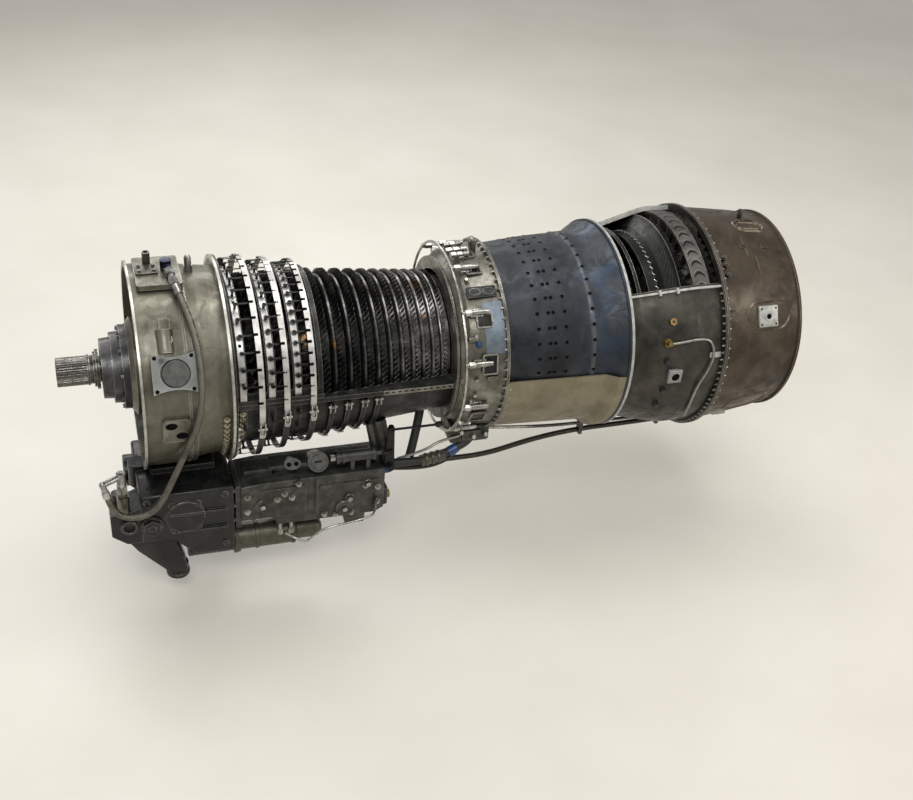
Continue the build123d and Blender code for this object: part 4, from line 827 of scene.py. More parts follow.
def stem_nut(mesh, seat):
    """Round collar of a vane stem with the stem's end sunk in it; the dark in the sunk end is painted shade
    laid by vane_stems.
    """
    turned(mesh, [
        (0.0, 0.0008), (COLLAR_R * 0.5, 0.0008), (COLLAR_R * 0.55, 0.0042), (COLLAR_R * 0.92, 0.0046),
        (COLLAR_R, 0.0036), (COLLAR_R, -0.001), (0.0, -0.001),
    ], seat, 12)


def vane_stems():
    """Collars on the three stem strips, with painted shade in the stems' sunk ends and in the locking wire's
    bores between them.
    """
    collars, bores = new_meshes(2)
    for row, (x, radius, count) in enumerate(zip(STRIP_X, STRIP_R, LEVER_COUNTS)):
        for i in range(count):
            angle = 360.0 / count * (i + 0.5)
            if not 5.0 < angle < 175.0:
                continue
            if row or i % 3:
                seat = on_skin(x, radius, angle)
                stem_nut(collars, seat)
                prism(bores, 12, 0.0046, 0.0022, seat)
            else:
                prism(bores, 12, 0.0042, 0.0012, on_skin(x, radius, angle + 180.0 / count))
    finish_piece("stem_collars", collars, "collar_steel")
    finish_piece("stem_bores", bores, "recess_shade")


def ring_fittings():
    """Lever ends in the notches of rings one and three, and the small holes of ring two, all drawn in painted
    shade.
    """
    for row, (ring, count) in enumerate(zip(RINGS, LEVER_COUNTS)):
        mesh = bmesh.new()
        for i in range(count // 2):
            angle = 360.0 / count * (i + 0.5)
            holed = row == 1 or (row == 2 and angle < 14.0)
            if holed and i not in (4, 14):
                prism(mesh, 10, 0.0021, 0.0005, on_skin(RING_X[row], RING_R[row] - 0.0002, angle))
            else:
                seat = on_skin(RING_X[row] - 0.0040, RING_R[row] - 0.0010, angle)
                block(mesh, (0.0140, 0.0075, 0.0046), seat, 0.0016)
        finish_piece(f"{ring}_lever_ends", mesh, "recess_shade", ring)


def ring_clevises():
    """Bright forked ends of the upper half rings with their pins."""
    for ring, x, radius, split in zip(RINGS, RING_X, RING_R, RING_SPLIT):
        mesh = bmesh.new()
        for low, away in ((split, -1), (180.0 - split, 1)):
            for side in (-1, 1):
                seat = on_skin(x + side * 0.0062, radius + 0.0045, low - away * 1.5)
                block(mesh, (0.0032, 0.030, 0.0125), seat, 0.0011)
            block(mesh, (0.0088, 0.020, 0.0075), on_skin(x, radius + 0.004, low + away * 1.2), 0.0022)
            pin = on_skin(x - 0.0115, radius + 0.006, low - away * 0.6)
            prism(mesh, 12, 0.0034, 0.023, pin @ QUARTER_TURN)
            prism(mesh, 14, 0.0092, 0.008, on_skin(x, radius + 0.001, low + away * 4.6), 0.0078)
        finish_piece(f"{ring}_clevises", mesh, "bright_steel", ring)


def rear_forks():
    """Bright forked ends of the four rear half rings and the glints of their lever ends."""
    mesh = bmesh.new()
    for x, radius in zip(REAR_RING_X, REAR_RING_R):
        for side, low in ((-1, -9.0), (1, -171.0)):
            for dx in (-0.0062, 0.0062):
                block(mesh, (0.0034, 0.026, 0.010), on_skin(x + dx, radius + 0.004, low), 0.0012)
            pin = on_skin(x - 0.011, radius + 0.006, low + side * -1.5)
            prism(mesh, 12, 0.0034, 0.022, pin @ QUARTER_TURN)
            lever = on_skin(x + 0.002, radius + 0.002, -90.0 + side * -38.0)
            block(mesh, (0.018, 0.006, 0.004), lever, 0.001)
    finish_piece("rear_ring_forks", mesh, "bright_steel", "rear_rings")


def split_flange():
    """Light edge of the compressor's split flange with its row of oval lightening holes in painted shade."""
    strip, ovals = new_meshes(2)
    for side in (-1, 1):
        seat = Matrix.Translation((0.708, side * (SPLIT_FLANGE_R + 0.0006), -0.0065))
        block(strip, (0.190, 0.0012, 0.0125), seat, 0.0004)
        for i in range(11):
            place = (0.622 + 0.0172 * i, side * (SPLIT_FLANGE_R + 0.0010), -0.0055)
            oval = seat_at(place, (0, side, 0)) @ Matrix.Diagonal((0.0042, 0.0021, 1, 1))
            prism(ovals, 12, 1.0, 0.0005, oval)
    finish_piece("split_flange_edge", strip, "frame_tan")
    finish_piece("split_flange_ovals", ovals, "recess_shade")


def union(mesh, seat, reach):
    """Pipe union lying along the seat's Z: hex, collar, hex and a plain end."""
    for low, high, sides, radius in (
        (0.0, 0.26, 6, 0.0095), (0.26, 0.36, 14, 0.0062), (0.36, 0.62, 6, 0.0085), (0.62, 0.70, 14, 0.0055),
        (0.70, 1.0, 14, 0.0072),
    ):
        prism(mesh, sides, radius, (high - low) * reach, moved(seat, 0, 0, low * reach))


def top_unions():
    """Silver unions and short pipes over the top of the main frame."""
    mesh = bmesh.new()
    for x, y, reach in ((0.842, -0.020, 0.052), (0.836, 0.006, 0.060), (0.842, 0.046, 0.050)):
        z = math.sqrt(0.264 ** 2 - y * y)
        union(mesh, seat_at((x, y, z), (1, 0.06, 0.02)), reach)
        block(mesh, (0.016, 0.018, 0.022), on_skin(x + 0.030, 0.252, 90 + math.degrees(y / 0.26)), 0.002)
    finish_piece("top_unions", mesh, "bright_steel")


def rounded_face(mesh, length, width, corner, segments):
    """One flat face with rounded corners, about the origin."""
    bmesh.ops.create_grid(mesh, x_segments=1, y_segments=1, size=0.5)
    bmesh.ops.transform(mesh, matrix=Matrix.Diagonal((length, width, 1, 1)), verts=mesh.verts[:])
    bmesh.ops.bevel(
        mesh, geom=mesh.verts[:], offset=corner, segments=segments, profile=0.5, affect="VERTICES",
        material=-1,
    )


def raise_faces(mesh, height, seat, keep=False):
    """Thicken the mesh's flat faces upwards and move them to a seat."""
    raised = bmesh.ops.extrude_face_region(mesh, geom=mesh.faces[:], use_keep_orig=keep)
    verts = [item for item in raised["geom"] if isinstance(item, bmesh.types.BMVert)]
    bmesh.ops.translate(mesh, verts=verts, vec=(0, 0, height))
    bmesh.ops.transform(mesh, matrix=seat, verts=mesh.verts[:])


def pocket(frame_mesh, floor_mesh, seat, length, width, border, height, corner):
    """Raised rim round a sunk dark floor."""
    rim = bmesh.new()
    rounded_face(rim, length, width, corner, 3)
    inner = bmesh.ops.inset_individual(rim, faces=rim.faces[:], thickness=border)
    face = [face for face in rim.faces if face not in inner["faces"]]
    bmesh.ops.delete(rim, geom=face, context="FACES_ONLY")
    raise_faces(rim, height, seat)
    append_mesh(frame_mesh, rim)
    size = (length - border, width - border, height * 0.4)
    block(floor_mesh, size, moved(seat, 0, 0, height * 0.2))


def main_frame_dressing():
    """Ports, window frames, sheet panel and brackets of the main frame, and the blue caps."""
    dark, tan, silver, sheet, cap = new_meshes(5)
    hoop(sheet, [(0.888, 0.2526), (0.927, 0.2578), (0.941, 0.2600), (0.941, 0.2614), (0.927, 0.2592),
                 (0.888, 0.2540)], 19.0, 50.0, 16)
    seat = on_skin(0.893, 0.2535, 56.5)
    block(dark, (0.082, 0.034, 0.009), moved(seat, 0, 0, 0.0045), 0.004)
    for dx, reach in ((-0.019, 0.015), (0.020, 0.017)):
        hole = moved(seat, dx, 0, 0.0086) @ Matrix.Diagonal((reach, 0.0100, 1, 1))
        prism(dark, 18, 1.0, 0.0016, hole)
    pocket(silver, dark, on_skin(0.888, 0.2560, 39.0), 0.046, 0.040, 0.0045, 0.0055, 0.006)
    pocket(silver, dark, on_skin(0.897, 0.2560, 13.0), 0.044, 0.058, 0.0045, 0.0050, 0.006)
    for x, angle, length, width in (
        (0.890, 73.0, 0.046, 0.034), (0.888, 88.0, 0.046, 0.034), (0.888, -30.0, 0.046, 0.050),
        (0.888, -60.0, 0.046, 0.050), *((0.890, angle, 0.048, 0.050) for angle in range(119, 275, 30)),
    ):
        pocket(tan, dark, on_skin(x, 0.2540, angle), length, width, 0.0050, 0.0050, 0.005)
    block(tan, (0.013, 0.034, 0.034), on_skin(0.9175, 0.2720, 95.5), 0.004)
    block(tan, (0.024, 0.012, 0.016), on_skin(0.853, 0.2520, 28.5), 0.002)
    block(tan, (0.030, 0.012, 0.012), on_skin(0.905, 0.2570, 4.0), 0.002)
    for angle in (66.0, 30.0, 3.0, -8.0):
        prism(silver, 6, 0.0052, 0.010, on_skin(0.862, 0.2490, angle))
    finish_piece("bleed_ports", dark, "case_black")
    finish_piece("main_frame_brackets", tan, "frame_tan")
    finish_piece("window_frames", silver, "bright_steel")
    finish_piece("sheet_panel", sheet, "panel_blue")
    for outline, seat in (
        ([(0.0, 0.0), (0.0078, 0.0), (0.0078, 0.008), (0.0066, 0.0105), (0.0, 0.0110)],
         on_skin(0.866, 0.256, 25.5)),
        ([(0.0, 0.0), (0.0090, 0.0), (0.0090, 0.012), (0.0076, 0.0150), (0.0, 0.0155)],
         seat_at((0.643, -0.188, -0.300), (0.6, -0.5, 0.35))),
    ):
        turned(cap, outline, seat, 18)
    finish_piece("blue_caps", cap, "cap_blue")


def turbine_dressing():
    """Light bars round the cut-away, its clips, and the flange's bright lip on the turbine case."""
    mesh = bmesh.new()
    for low in (43.4, 114.8):
        hoop(mesh, [(1.297, 0.262), (1.329, 0.270), (1.439, 0.300), (1.478, 0.308), (1.556, 0.308),
                    (1.556, 0.3215), (1.478, 0.3215), (1.439, 0.3130), (1.329, 0.2830), (1.297, 0.2760)],
             low, low + 1.1, 1)
    for x, radius in ((1.380, 0.300), (1.428, 0.311)):
        block(mesh, (0.007, 0.016, 0.010), on_skin(x, radius, 43.6), 0.001)
    block(mesh, (0.034, 0.016, 0.0035), on_skin(1.534, 0.3140, 9.5), 0.001)
    hoop(mesh, [(1.289, 0.2965), (1.2965, 0.2965), (1.2965, 0.2985), (1.289, 0.2985)])
    finish_piece("window_bars", mesh, "bar_grey")


def chevron_row():
    """Locking tabs round the small end of the power nozzle, set in pairs like arrowheads, made bright by the
    painted highlight of the rotor steel.
    """
    mesh = bmesh.new()
    for side, x in ((-1, 1.3985), (1, 1.4075)):
        tab = bmesh.new()
        block(tab, (0.0150, 0.0020, 0.0034), on_skin(x, 0.2570, 90.0, side * 42.0), 0.0005)
        round_copies(tab, 80)
        append_mesh(mesh, tab)
    finish_piece("nozzle_tabs", mesh, "rotor_steel")


def turbine_wheel(number, x, tip):
    """Power wheel: disc with its hub, web, rim and a full ring of blades."""
    mesh = bmesh.new()
    side = [(0.011, 0.034), (0.011, 0.060), (0.005, 0.064), (0.005, WHEEL_ROOT - 0.016),
            (0.011, WHEEL_ROOT - 0.012), (0.011, WHEEL_ROOT)]
    outline = [(x - half, radius) for half, radius in side]
    outline += [(x + half, radius) for half, radius in side[::-1]]
    hoop(mesh, outline, steps=96)
    blade_ring(mesh, 72, x, WHEEL_ROOT - 0.001, tip, 0.024, -26, -44, 0.0024)
    disc = f"power_turbine_disc_{number}"
    finish_piece(f"power_wheel_{number}", mesh, "turbine_steel", "power_turbine", (disc,))


def line_radius(line, x):
    """Radius at a station of an outline of (station, radius) points."""
    for (xa, ra), (xb, rb) in zip(line, line[1:]):
        if x <= xb:
            return ra + (rb - ra) * (x - xa) / (xb - xa)
    return line[-1][1]


def skin_radius(x):
    """Outside of the exhaust case at a station, as in the part."""
    return line_radius(EXHAUST_LINE, x)


def embossed(mesh, x, angle, length, width, ridge=0.009, rise=0.0040):
    """Pressed ridge in the shape of a stadium, laid on the exhaust case."""
    loops = []
    for shrink, lift in ((0.0, -0.0004), (0.5, rise), (1.0, -0.0004)):
        made = bmesh.ops.create_circle(mesh, cap_ends=False, segments=48, radius=1.0)
        half = width / 2 - ridge * shrink
        for vert in made["verts"]:
            along = vert.co.x * half + math.copysign((length - width) / 2, vert.co.x)
            around = math.degrees(vert.co.y * half / 0.305)
            vert.co = on_skin(x + along, skin_radius(x + along) + lift, angle + around).translation
        loops.append({edge for vert in made["verts"] for edge in vert.link_edges})
    for first, second in zip(loops, loops[1:]):
        bmesh.ops.bridge_loops(mesh, edges=list(first | second))


def exhaust_dressing():
    """Pressed stadiums round the pads, weld beads, small fittings and the oval cover on top."""
    ridges, plates = new_meshes(2)
    for angle in (26.6, 206.6, 146.6, -33.4, -93.4):
        embossed(ridges, 1.705, angle, 0.150, 0.092)
    embossed(ridges, 1.726, 83.0, 0.104, 0.062)
    embossed(ridges, 1.726, 83.0, 0.078, 0.036, 0.005, 0.003)
    for x in (1.664, 1.735):
        block(plates, (0.018, 0.012, 0.003), on_skin(x, skin_radius(x) + 0.001, 66.0), 0.001)
    for angle in (49.0, 54.0, 58.0):
        prism(plates, 6, 0.0062, 0.012, on_skin(1.584, 0.313, angle))
        prism(plates, 10, 0.0042, 0.018, on_skin(1.584, 0.313, angle))
    for angle in (26.0, 31.0):
        block(plates, (0.020, 0.007, 0.005), on_skin(1.585, 0.3135, angle), 0.001)
    block(plates, (0.075, 0.010, 0.004), on_skin(1.715, skin_radius(1.715) + 0.002, 88.0), 0.001)
    prism(plates, 12, 0.0065, 0.020, on_skin(1.722, skin_radius(1.722), 92.0))
    prism(plates, 12, 0.0085, 0.009, on_skin(1.722, skin_radius(1.722) + 0.017, 92.0), 0.006)
    for x, low, high in ((1.668, 60.0, 72.0), (1.692, 49.0, 60.0)):
        radius = skin_radius(x)
        band(ridges, x, x + 0.005, radius - 0.001, radius + 0.0012, low, high, 8)
    finish_piece("exhaust_pressings", ridges, "pressing_tan")
    finish_piece("exhaust_fittings", plates, "turbine_dark")


def slab(mesh, outline, near, far, rounding):
    """Side outline of (x, z) points carried from the near face to the far one, its edges rounded."""
    start = len(mesh.verts)
    face = mesh.faces.new([mesh.verts.new((x, near, z)) for x, z in outline])
    made = bmesh.ops.extrude_face_region(mesh, geom=[face], use_keep_orig=True)
    moved = [item for item in made["geom"] if isinstance(item, bmesh.types.BMVert)]
    bmesh.ops.translate(mesh, verts=moved, vec=(0, far - near, 0))
    mesh.verts.ensure_lookup_table()
    round_off(mesh, mesh.verts[start:], rounding, 3)


def brick(mesh, low, high, rounding):
    """Rounded box between two corners."""
    low, high = Vector(low), Vector(high)
    block(mesh, tuple(high - low), Matrix.Translation((low + high) / 2), rounding)


def rod(mesh, start, end, radius, sides=16, top=None):
    """Round or many-sided bar between two points."""
    start, end = Vector(start), Vector(end)
    prism(mesh, sides, radius, (end - start).length, seat_at(start, end - start), top)


def knob(mesh, place, axis, outline, sides=24):
    """Turned part of (radius, height) points about an axis."""
    turned(mesh, outline, seat_at(place, axis), sides)


def bent_pipe(name, points, radius, finish):
    """Rigid pipe as a smooth line through its control points."""
    line = bpy.data.curves.new(name, "CURVE")
    line.dimensions = "3D"
    line.bevel_depth = 1.0
    line.bevel_resolution = 3
    line.resolution_u = 6
    line.use_fill_caps = True
    spline = line.splines.new("NURBS")
    spline.points.add(len(points) - 1)
    for point, place in zip(spline.points, points):
        point.co = (*place, 1)
        point.radius = radius
    spline.order_u = 3
    spline.use_endpoint_u = True
    pipe = new_object(name, line)
    line.materials.append(FINISHES[finish])
    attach(pipe, "root")
    return pipe


def oil_hose():
    """Braided hose from the top fitting round the near side to the snout's elbow."""
    hose = bent_pipe("oil_hose", HOSE_ROUTE, HOSE_DIAMETER / 2, "hose_braid")
    hose.data.resolution_u = 10


def hose_fittings():
    """Elbow port, collar, nipple, nut and cuff at the hose's head, and the elbow at its foot."""
    mesh = bmesh.new()
    start, second = Vector(HOSE_ROUTE[0]), Vector(HOSE_ROUTE[1])
    cuff = start - (second - start).normalized() * 0.028
    port = Vector(HOSE_PORT)
    rod(mesh, (port.x, port.y, 0.274), (port.x, port.y, port.z + 0.010), 0.014, 20)
    rod(mesh, cuff, start, 0.0105, 20)
    run = cuff - port
    for low, high, sides, radius in ((0.0, 0.32, 18, 0.009), (0.32, 0.55, 6, 0.013), (0.55, 0.74, 18, 0.009),
                                     (0.74, 1.0, 6, 0.0125)):
        rod(mesh, port + run * low, port + run * high, radius, sides)
    end, before = Vector(HOSE_ROUTE[-1]), Vector(HOSE_ROUTE[-2])
    corner = end + (end - before).normalized() * 0.040
    x, y = -0.062, -0.190
    rod(mesh, end, end + (corner - end) * 0.5, 0.0105, 20)
    rod(mesh, end, corner, 0.008)
    rod(mesh, corner, (x, y, corner.z), 0.008)
    bend = Matrix.Translation(corner)
    bmesh.ops.create_uvsphere(mesh, u_segments=16, v_segments=10, radius=0.009, matrix=bend)
    for low, high, radius, sides in ((-0.330, -0.275, 0.016, 20), (-0.275, -0.241, 0.015, 6),
                                     (-0.241, corner.z + 0.010, 0.012, 20)):
        rod(mesh, (x, y, low), (x, y, high), radius, sides)
    finish_piece("hose_fittings", mesh, "pipe_steel")


def gearbox():
    """Cast gearbox under the inlet frame with its snout, drive pads, ribs and the pump's nacelle."""
    mesh, plug = new_meshes(2)
    slab(mesh, [(-0.020, -0.279), (0.225, -0.279), (0.225, -0.498), (0.120, -0.498), (0.058, -0.437),
                (-0.020, -0.435)], -0.205, 0.060, 0.008)
    slab(mesh, [(0.000, -0.305), (-0.040, -0.325), (-0.098, -0.332), (-0.098, -0.401), (-0.060, -0.432),
                (0.000, -0.433)], -0.200, -0.110, 0.008)
    brick(mesh, (0.0175, -0.110, -0.307), (0.1875, 0.030, -0.262), 0.006)
    rod(mesh, (-0.012, -0.060, -0.337), (-0.012, -0.060, -0.266), 0.026, 24)
    rod(mesh, (-0.076, -0.143, -0.335), (-0.076, -0.143, -0.299), 0.014, 20)
    knob(mesh, (-0.052, -0.199, -0.372), (0, -1, 0), [
        (0.0, -0.002), (0.015, -0.002), (0.015, 0.010), (0.017, 0.012), (0.021, 0.012), (0.023, 0.010),
        (0.023, 0.0),
    ])
    knob(mesh, (-0.046, 0.008, -0.343), (1, 0, 0), [
        (0.0, 0.010), (0.030, 0.010), (0.030, 0.0), (0.042, 0.0), (0.044, 0.002), (0.044, 0.040),
    ])
    rod(mesh, (0.100, -0.150, -0.492), (0.225, -0.150, -0.492), 0.042, 28)
    for z in (-0.347, -0.407):
        brick(mesh, (0.055, -0.213, z - 0.003), (0.205, -0.194, z + 0.003), 0.002)
    drive_pad = [(0.0, 0.010), (0.050, 0.010), (0.052, 0.008), (0.052, 0.0)]
    knob(mesh, (0.094, -0.202, -0.3575), (0, -1, 0), drive_pad, 36)
    for x, z in GEARBOX_HEADS:
        rod(mesh, (x, -0.203, z), (x, -0.212, z), 0.0068, 6)
        rod(mesh, (x, -0.203, z), (x, -0.2065, z), 0.0090, 16)
    for z in (-0.300, -0.350, -0.400, -0.450):
        rod(mesh, (0.218, -0.196, z), (0.231, -0.196, z), 0.006, 6)
    finish_piece("gearbox_casting", mesh, "gearbox_black", replaced=("accessory_gearbox",))
    x, z = PLUG_PLACE
    rod(plug, (x, -0.203, z), (x, -0.210, z), 0.029, 32)
    rod(plug, (x, -0.209, z), (x, -0.222, z), 0.027, 6, 0.025)
    knob(plug, (x, -0.2215, z), (0, -1, 0), [(0.0, 0.0), (0.010, 0.0), (0.010, 0.002), (0.0, 0.002)])
    finish_piece("gearbox_plug", plug, "gearbox_black", replaced=("gearbox_cover",))


def funnel():
    """Sloped drain outlet with its round lipped spout."""
    mesh = bmesh.new()
    slab(mesh, [(-0.066, -0.417), (0.064, -0.425), (0.096, -0.556), (0.044, -0.556), (-0.034, -0.467)],
         -0.199, -0.127, 0.007)
    knob(mesh, (0.070, -0.163, -0.586), (0, 0, 1), [
        (0.0, 0.030), (0.023, 0.030), (0.023, 0.0), (0.030, 0.0), (0.032, 0.002), (0.032, 0.010),
        (0.029, 0.012), (0.029, 0.036),
    ], 32)
    finish_piece("drain_outlet", mesh, "gearbox_black", replaced=("drain_funnel",))


def pump():
    """Stepped pump barrel with bands, a domed end and its saddle."""
    mesh = bmesh.new()
    x, y, z = PUMP_PLACE
    knob(mesh, PUMP_PLACE, (1, 0, 0), [
        (0.0, 0.0), (0.044, 0.0), (0.046, 0.002), (0.046, 0.010), (0.044, 0.012), (0.038, 0.013),
        (0.038, 0.059), (0.041, 0.060), (0.041, 0.068), (0.038, 0.069), (0.038, 0.161), (0.041, 0.162),
        (0.041, 0.170), (0.038, 0.171), (0.030, 0.177), (0.030, 0.227), (0.027, 0.238), (0.020, 0.246),
        (0.010, 0.250), (0.0, 0.251),
    ], 32)
    brick(mesh, (0.343, -0.170, -0.480), (0.367, -0.130, -0.430), 0.003)
    for turn in range(0, 360, 60):
        dy, dz = 0.040 * math.cos(math.radians(turn)), 0.040 * math.sin(math.radians(turn))
        rod(mesh, (x + 0.011, y + dy, z + dz), (x + 0.018, y + dy, z + dz), 0.005, 6)
    finish_piece("scavenge_pump", mesh, "pump_olive", replaced=("oil_pump",))


def control():
    """Cast fuel control: stepped housing, flange, decks, raised panel, bosses, nuts, servo and unions."""
    mesh, nuts, servo, brass = new_meshes(4)
    slab(mesh, [(0.241, -0.289), (0.301, -0.283), (0.641, -0.283), (0.641, -0.418), (0.615, -0.432),
                (0.345, -0.432), (0.325, -0.404), (0.241, -0.404)], -0.205, -0.070, 0.0045)
    for low, high, rounding in (
        ((0.227, -0.201, -0.430), (0.244, -0.074, -0.285), 0.006),
        ((0.326, -0.165, -0.300), (0.616, -0.108, -0.260), 0.008),
        ((0.256, -0.165, -0.294), (0.346, -0.108, -0.266), 0.006),
        ((0.295, -0.212, -0.398), (0.419, -0.200, -0.302), 0.004),
        ((0.445, -0.211, -0.410), (0.453, -0.199, -0.290), 0.002),
        ((0.456, -0.211, -0.322), (0.626, -0.197, -0.312), 0.002),
        ((0.534, -0.192, -0.474), (0.592, -0.146, -0.430), 0.006),
        ((0.639, -0.189, -0.425), (0.657, -0.153, -0.365), 0.006),
    ):
        brick(mesh, low, high, rounding)
    for x, z, radius in CONTROL_BOSSES:
        outline = [(0.0, 0.011), (radius - 0.002, 0.011), (radius, 0.009), (radius, 0.0)]
        knob(mesh, (x, -0.200, z), (0, -1, 0), outline)
    for place, radius in ((CAP_PLACE, 0.027), (OVAL_PLACE, 0.015)):
        rod(mesh, Vector(place) - Vector(COVER_FACING) * 0.050, place, radius, 28)
    finish_piece("control_casting", mesh, "control_grey", replaced=("fuel_control",))
    for x, z in CONTROL_HEADS:
        proud = 0.006 if 0.300 < x < 0.400 else 0.0
        for far, radius, sides in ((-0.2065, 0.0088, 16), (-0.2125, 0.0066, 6), (-0.2160, 0.0032, 12)):
            rod(nuts, (x, -0.204, z), (x, far - proud, z), radius, sides)
    for x, z, radius in CONTROL_BOSSES:
        rod(nuts, (x, -0.210, z), (x, -0.2175, z), 0.0075, 6)
    for x in (0.351, 0.381):
        rod(nuts, (x, -0.189, -0.476), (x, -0.189, -0.430), 0.006)
        rod(nuts, (x, -0.189, -0.476), (x, -0.189, -0.460), 0.008, 6)
    rod(nuts, (0.488, *SERVO), (0.502, *SERVO), 0.009, 6)
    finish_piece("control_nuts", nuts, "bright_steel")
    rod(servo, (0.503, *SERVO), (0.609, *SERVO), 0.016, 28)
    for x in (0.503, 0.519, 0.603):
        rod(servo, (x, *SERVO), (x + 0.008, *SERVO), 0.019, 24)
    for x in (0.549, 0.593):
        brick(servo, (x - 0.006, -0.197, -0.283), (x + 0.006, -0.179, -0.240), 0.002)
    rod(servo, (0.609, *SERVO), (0.634, *SERVO), 0.007)
    finish_piece("servo_cylinder", servo, "servo_grey")
    rod(brass, (0.641, -0.145, -0.323), (0.661, -0.145, -0.323), 0.019, 6)
    rod(brass, (0.661, -0.145, -0.323), (0.677, -0.145, -0.323), 0.012)
    rod(brass, (0.640, -0.171, -0.398), (0.664, -0.171, -0.398), 0.012, 14)
    finish_piece("control_unions", brass, "brass")


def control_covers():
    """Round cap with its turned groove and slot, and the oval cover with two recesses; the slot and the
    recesses are painted shade.
    """
    cap, oval, dark = new_meshes(3)
    knob(cap, CAP_PLACE, COVER_FACING, [
        (0.0, 0.009), (0.018, 0.009), (0.019, 0.007), (0.024, 0.007), (0.025, 0.010), (0.028, 0.010),
        (0.029, 0.009), (0.029, 0.0),
    ], 40)
    block(dark, (0.020, 0.004, 0.0008), seat_at(CAP_PLACE, COVER_FACING) @ Matrix.Translation((0, 0, 0.0093)))
    seat = seat_at(OVAL_PLACE, COVER_FACING)
    prism(oval, 28, 0.0155, 0.009, seat @ Matrix.Diagonal((1.5, 1, 1, 1)))
    for dx in (-0.010, 0.010):
        prism(dark, 16, 0.0062, 0.0097, moved(seat, dx, 0, 0))
    finish_piece("control_round_cap", cap, "cap_grey", replaced=("control_cap",))
    finish_piece("control_oval", oval, "cap_grey", replaced=("control_oval_cover",))
    finish_piece("cover_recesses", dark, "recess_shade")


def linkage():
    """Servo rod eye, bellcrank on its bracket, and the slim link aft."""
    mesh = bmesh.new()
    x, y, z = CRANK
    eye, top = z + 0.050, z + 0.128
    rod(mesh, (x, y + 0.009, z), (x, y - 0.017, z), 0.006)
    rod(mesh, (x, y - 0.011, z), (x, y - 0.017, z), 0.010, 6)
    brick(mesh, (0.640, y + 0.008, z - 0.014), (x + 0.012, y + 0.022, z + 0.014), 0.003)
    slab(mesh, [(x - 0.014, z), (x + 0.014, z), (x + 0.009, top), (x - 0.009, top)],
         y - 0.0035, y + 0.0035, 0.0015)
    for height, radius, half in ((z, 0.014, 0.0075), (top, 0.009, 0.0035), (top, 0.0035, 0.012),
                                 (eye, 0.0035, 0.012)):
        rod(mesh, (x, y - half, height), (x, y + half, height), radius, 20)
    rod(mesh, (0.631, y - 0.0055, eye), (x, y - 0.0055, eye), 0.0055)
    rod(mesh, (x, y - 0.0035, eye), (x, y - 0.0095, eye), 0.009, 20)
    rod(mesh, (x, y - 0.0085, top), (x + 0.130, y - 0.0085, top), 0.0035)
    for dx in (0.0, 0.130):
        rod(mesh, (x + dx, y - 0.005, top), (x + dx, y - 0.012, top), 0.008, 20)
    finish_piece("control_linkage", mesh, "lever_dark")


# Pipes and hoses under the engine: radius, finish and control points
PIPES = {
    "scavenge_line": (0.008, "pipe_dark", [
        (0.677, -0.145, -0.323), (0.737, -0.145, -0.323), (0.857, -0.110, -0.350), (0.980, -0.095, -0.362),
        (1.120, -0.080, -0.340), (1.269, -0.060, -0.338), (1.449, -0.040, -0.352), (1.622, -0.030, -0.356),
        (1.760, -0.030, -0.356),
    ]),
    "control_line": (0.0032, "pipe_steel", [
        (0.359, -0.213, -0.456), (0.409, -0.213, -0.498), (0.425, -0.213, -0.498), (0.459, -0.213, -0.460),
        (0.601, -0.213, -0.444), (0.617, -0.213, -0.422), (0.617, -0.213, -0.372),
    ]),
    "thermocouple_lead": (0.0035, "bolt_steel", [
        tuple(on_skin(TURBINE_START + along, 0.312 + lift, angle).translation) for along, angle, lift in (
            (0.114, 17.4, 0.001), (0.148, 18.0, 0.006), (0.190, 19.0, 0.009), (0.226, 18.0, 0.009),
            (0.240, 10.0, 0.009), (0.224, 1.0, 0.009), (0.203, -8.0, 0.009), (0.206, -22.0, 0.009),
            (0.214, -33.0, 0.009))
    ]),
    "bleed_hose": (0.0125, "rubber_black", [
        (0.667, -0.160, -0.300), (0.720, -0.160, -0.306), (0.790, -0.160, -0.304), (0.850, -0.155, -0.284),
        (0.905, -0.145, -0.262), (0.925, -0.140, -0.225),
    ]),
    "drain_strut": (0.0125, "rubber_black", [
        (0.770, -0.085, -0.150), (0.752, -0.115, -0.230), (0.728, -0.140, -0.300),
    ]),
    "low_pressure_line": (0.0065, "pipe_dark", [
        (0.657, -0.120, -0.345), (0.756, -0.150, -0.343), (0.850, -0.140, -0.330), (0.900, -0.130, -0.262),
        (0.915, -0.125, -0.222),
    ]),
    "sense_line": (0.0040, "bolt_steel", [
        (0.690, -0.150, -0.296), (0.760, -0.175, -0.262), (0.800, -0.170, -0.238), (0.880, -0.160, -0.232),
        (0.960, -0.150, -0.205),
    ]),
    "case_drain_line": (0.0050, "pipe_steel", [
        (0.915, -0.120, -0.240), (1.020, -0.110, -0.262), (1.160, -0.090, -0.290), (1.270, -0.075, -0.305),
        (1.400, -0.060, -0.318), (1.510, -0.050, -0.328), (1.556, -0.050, -0.316),
    ]),
}


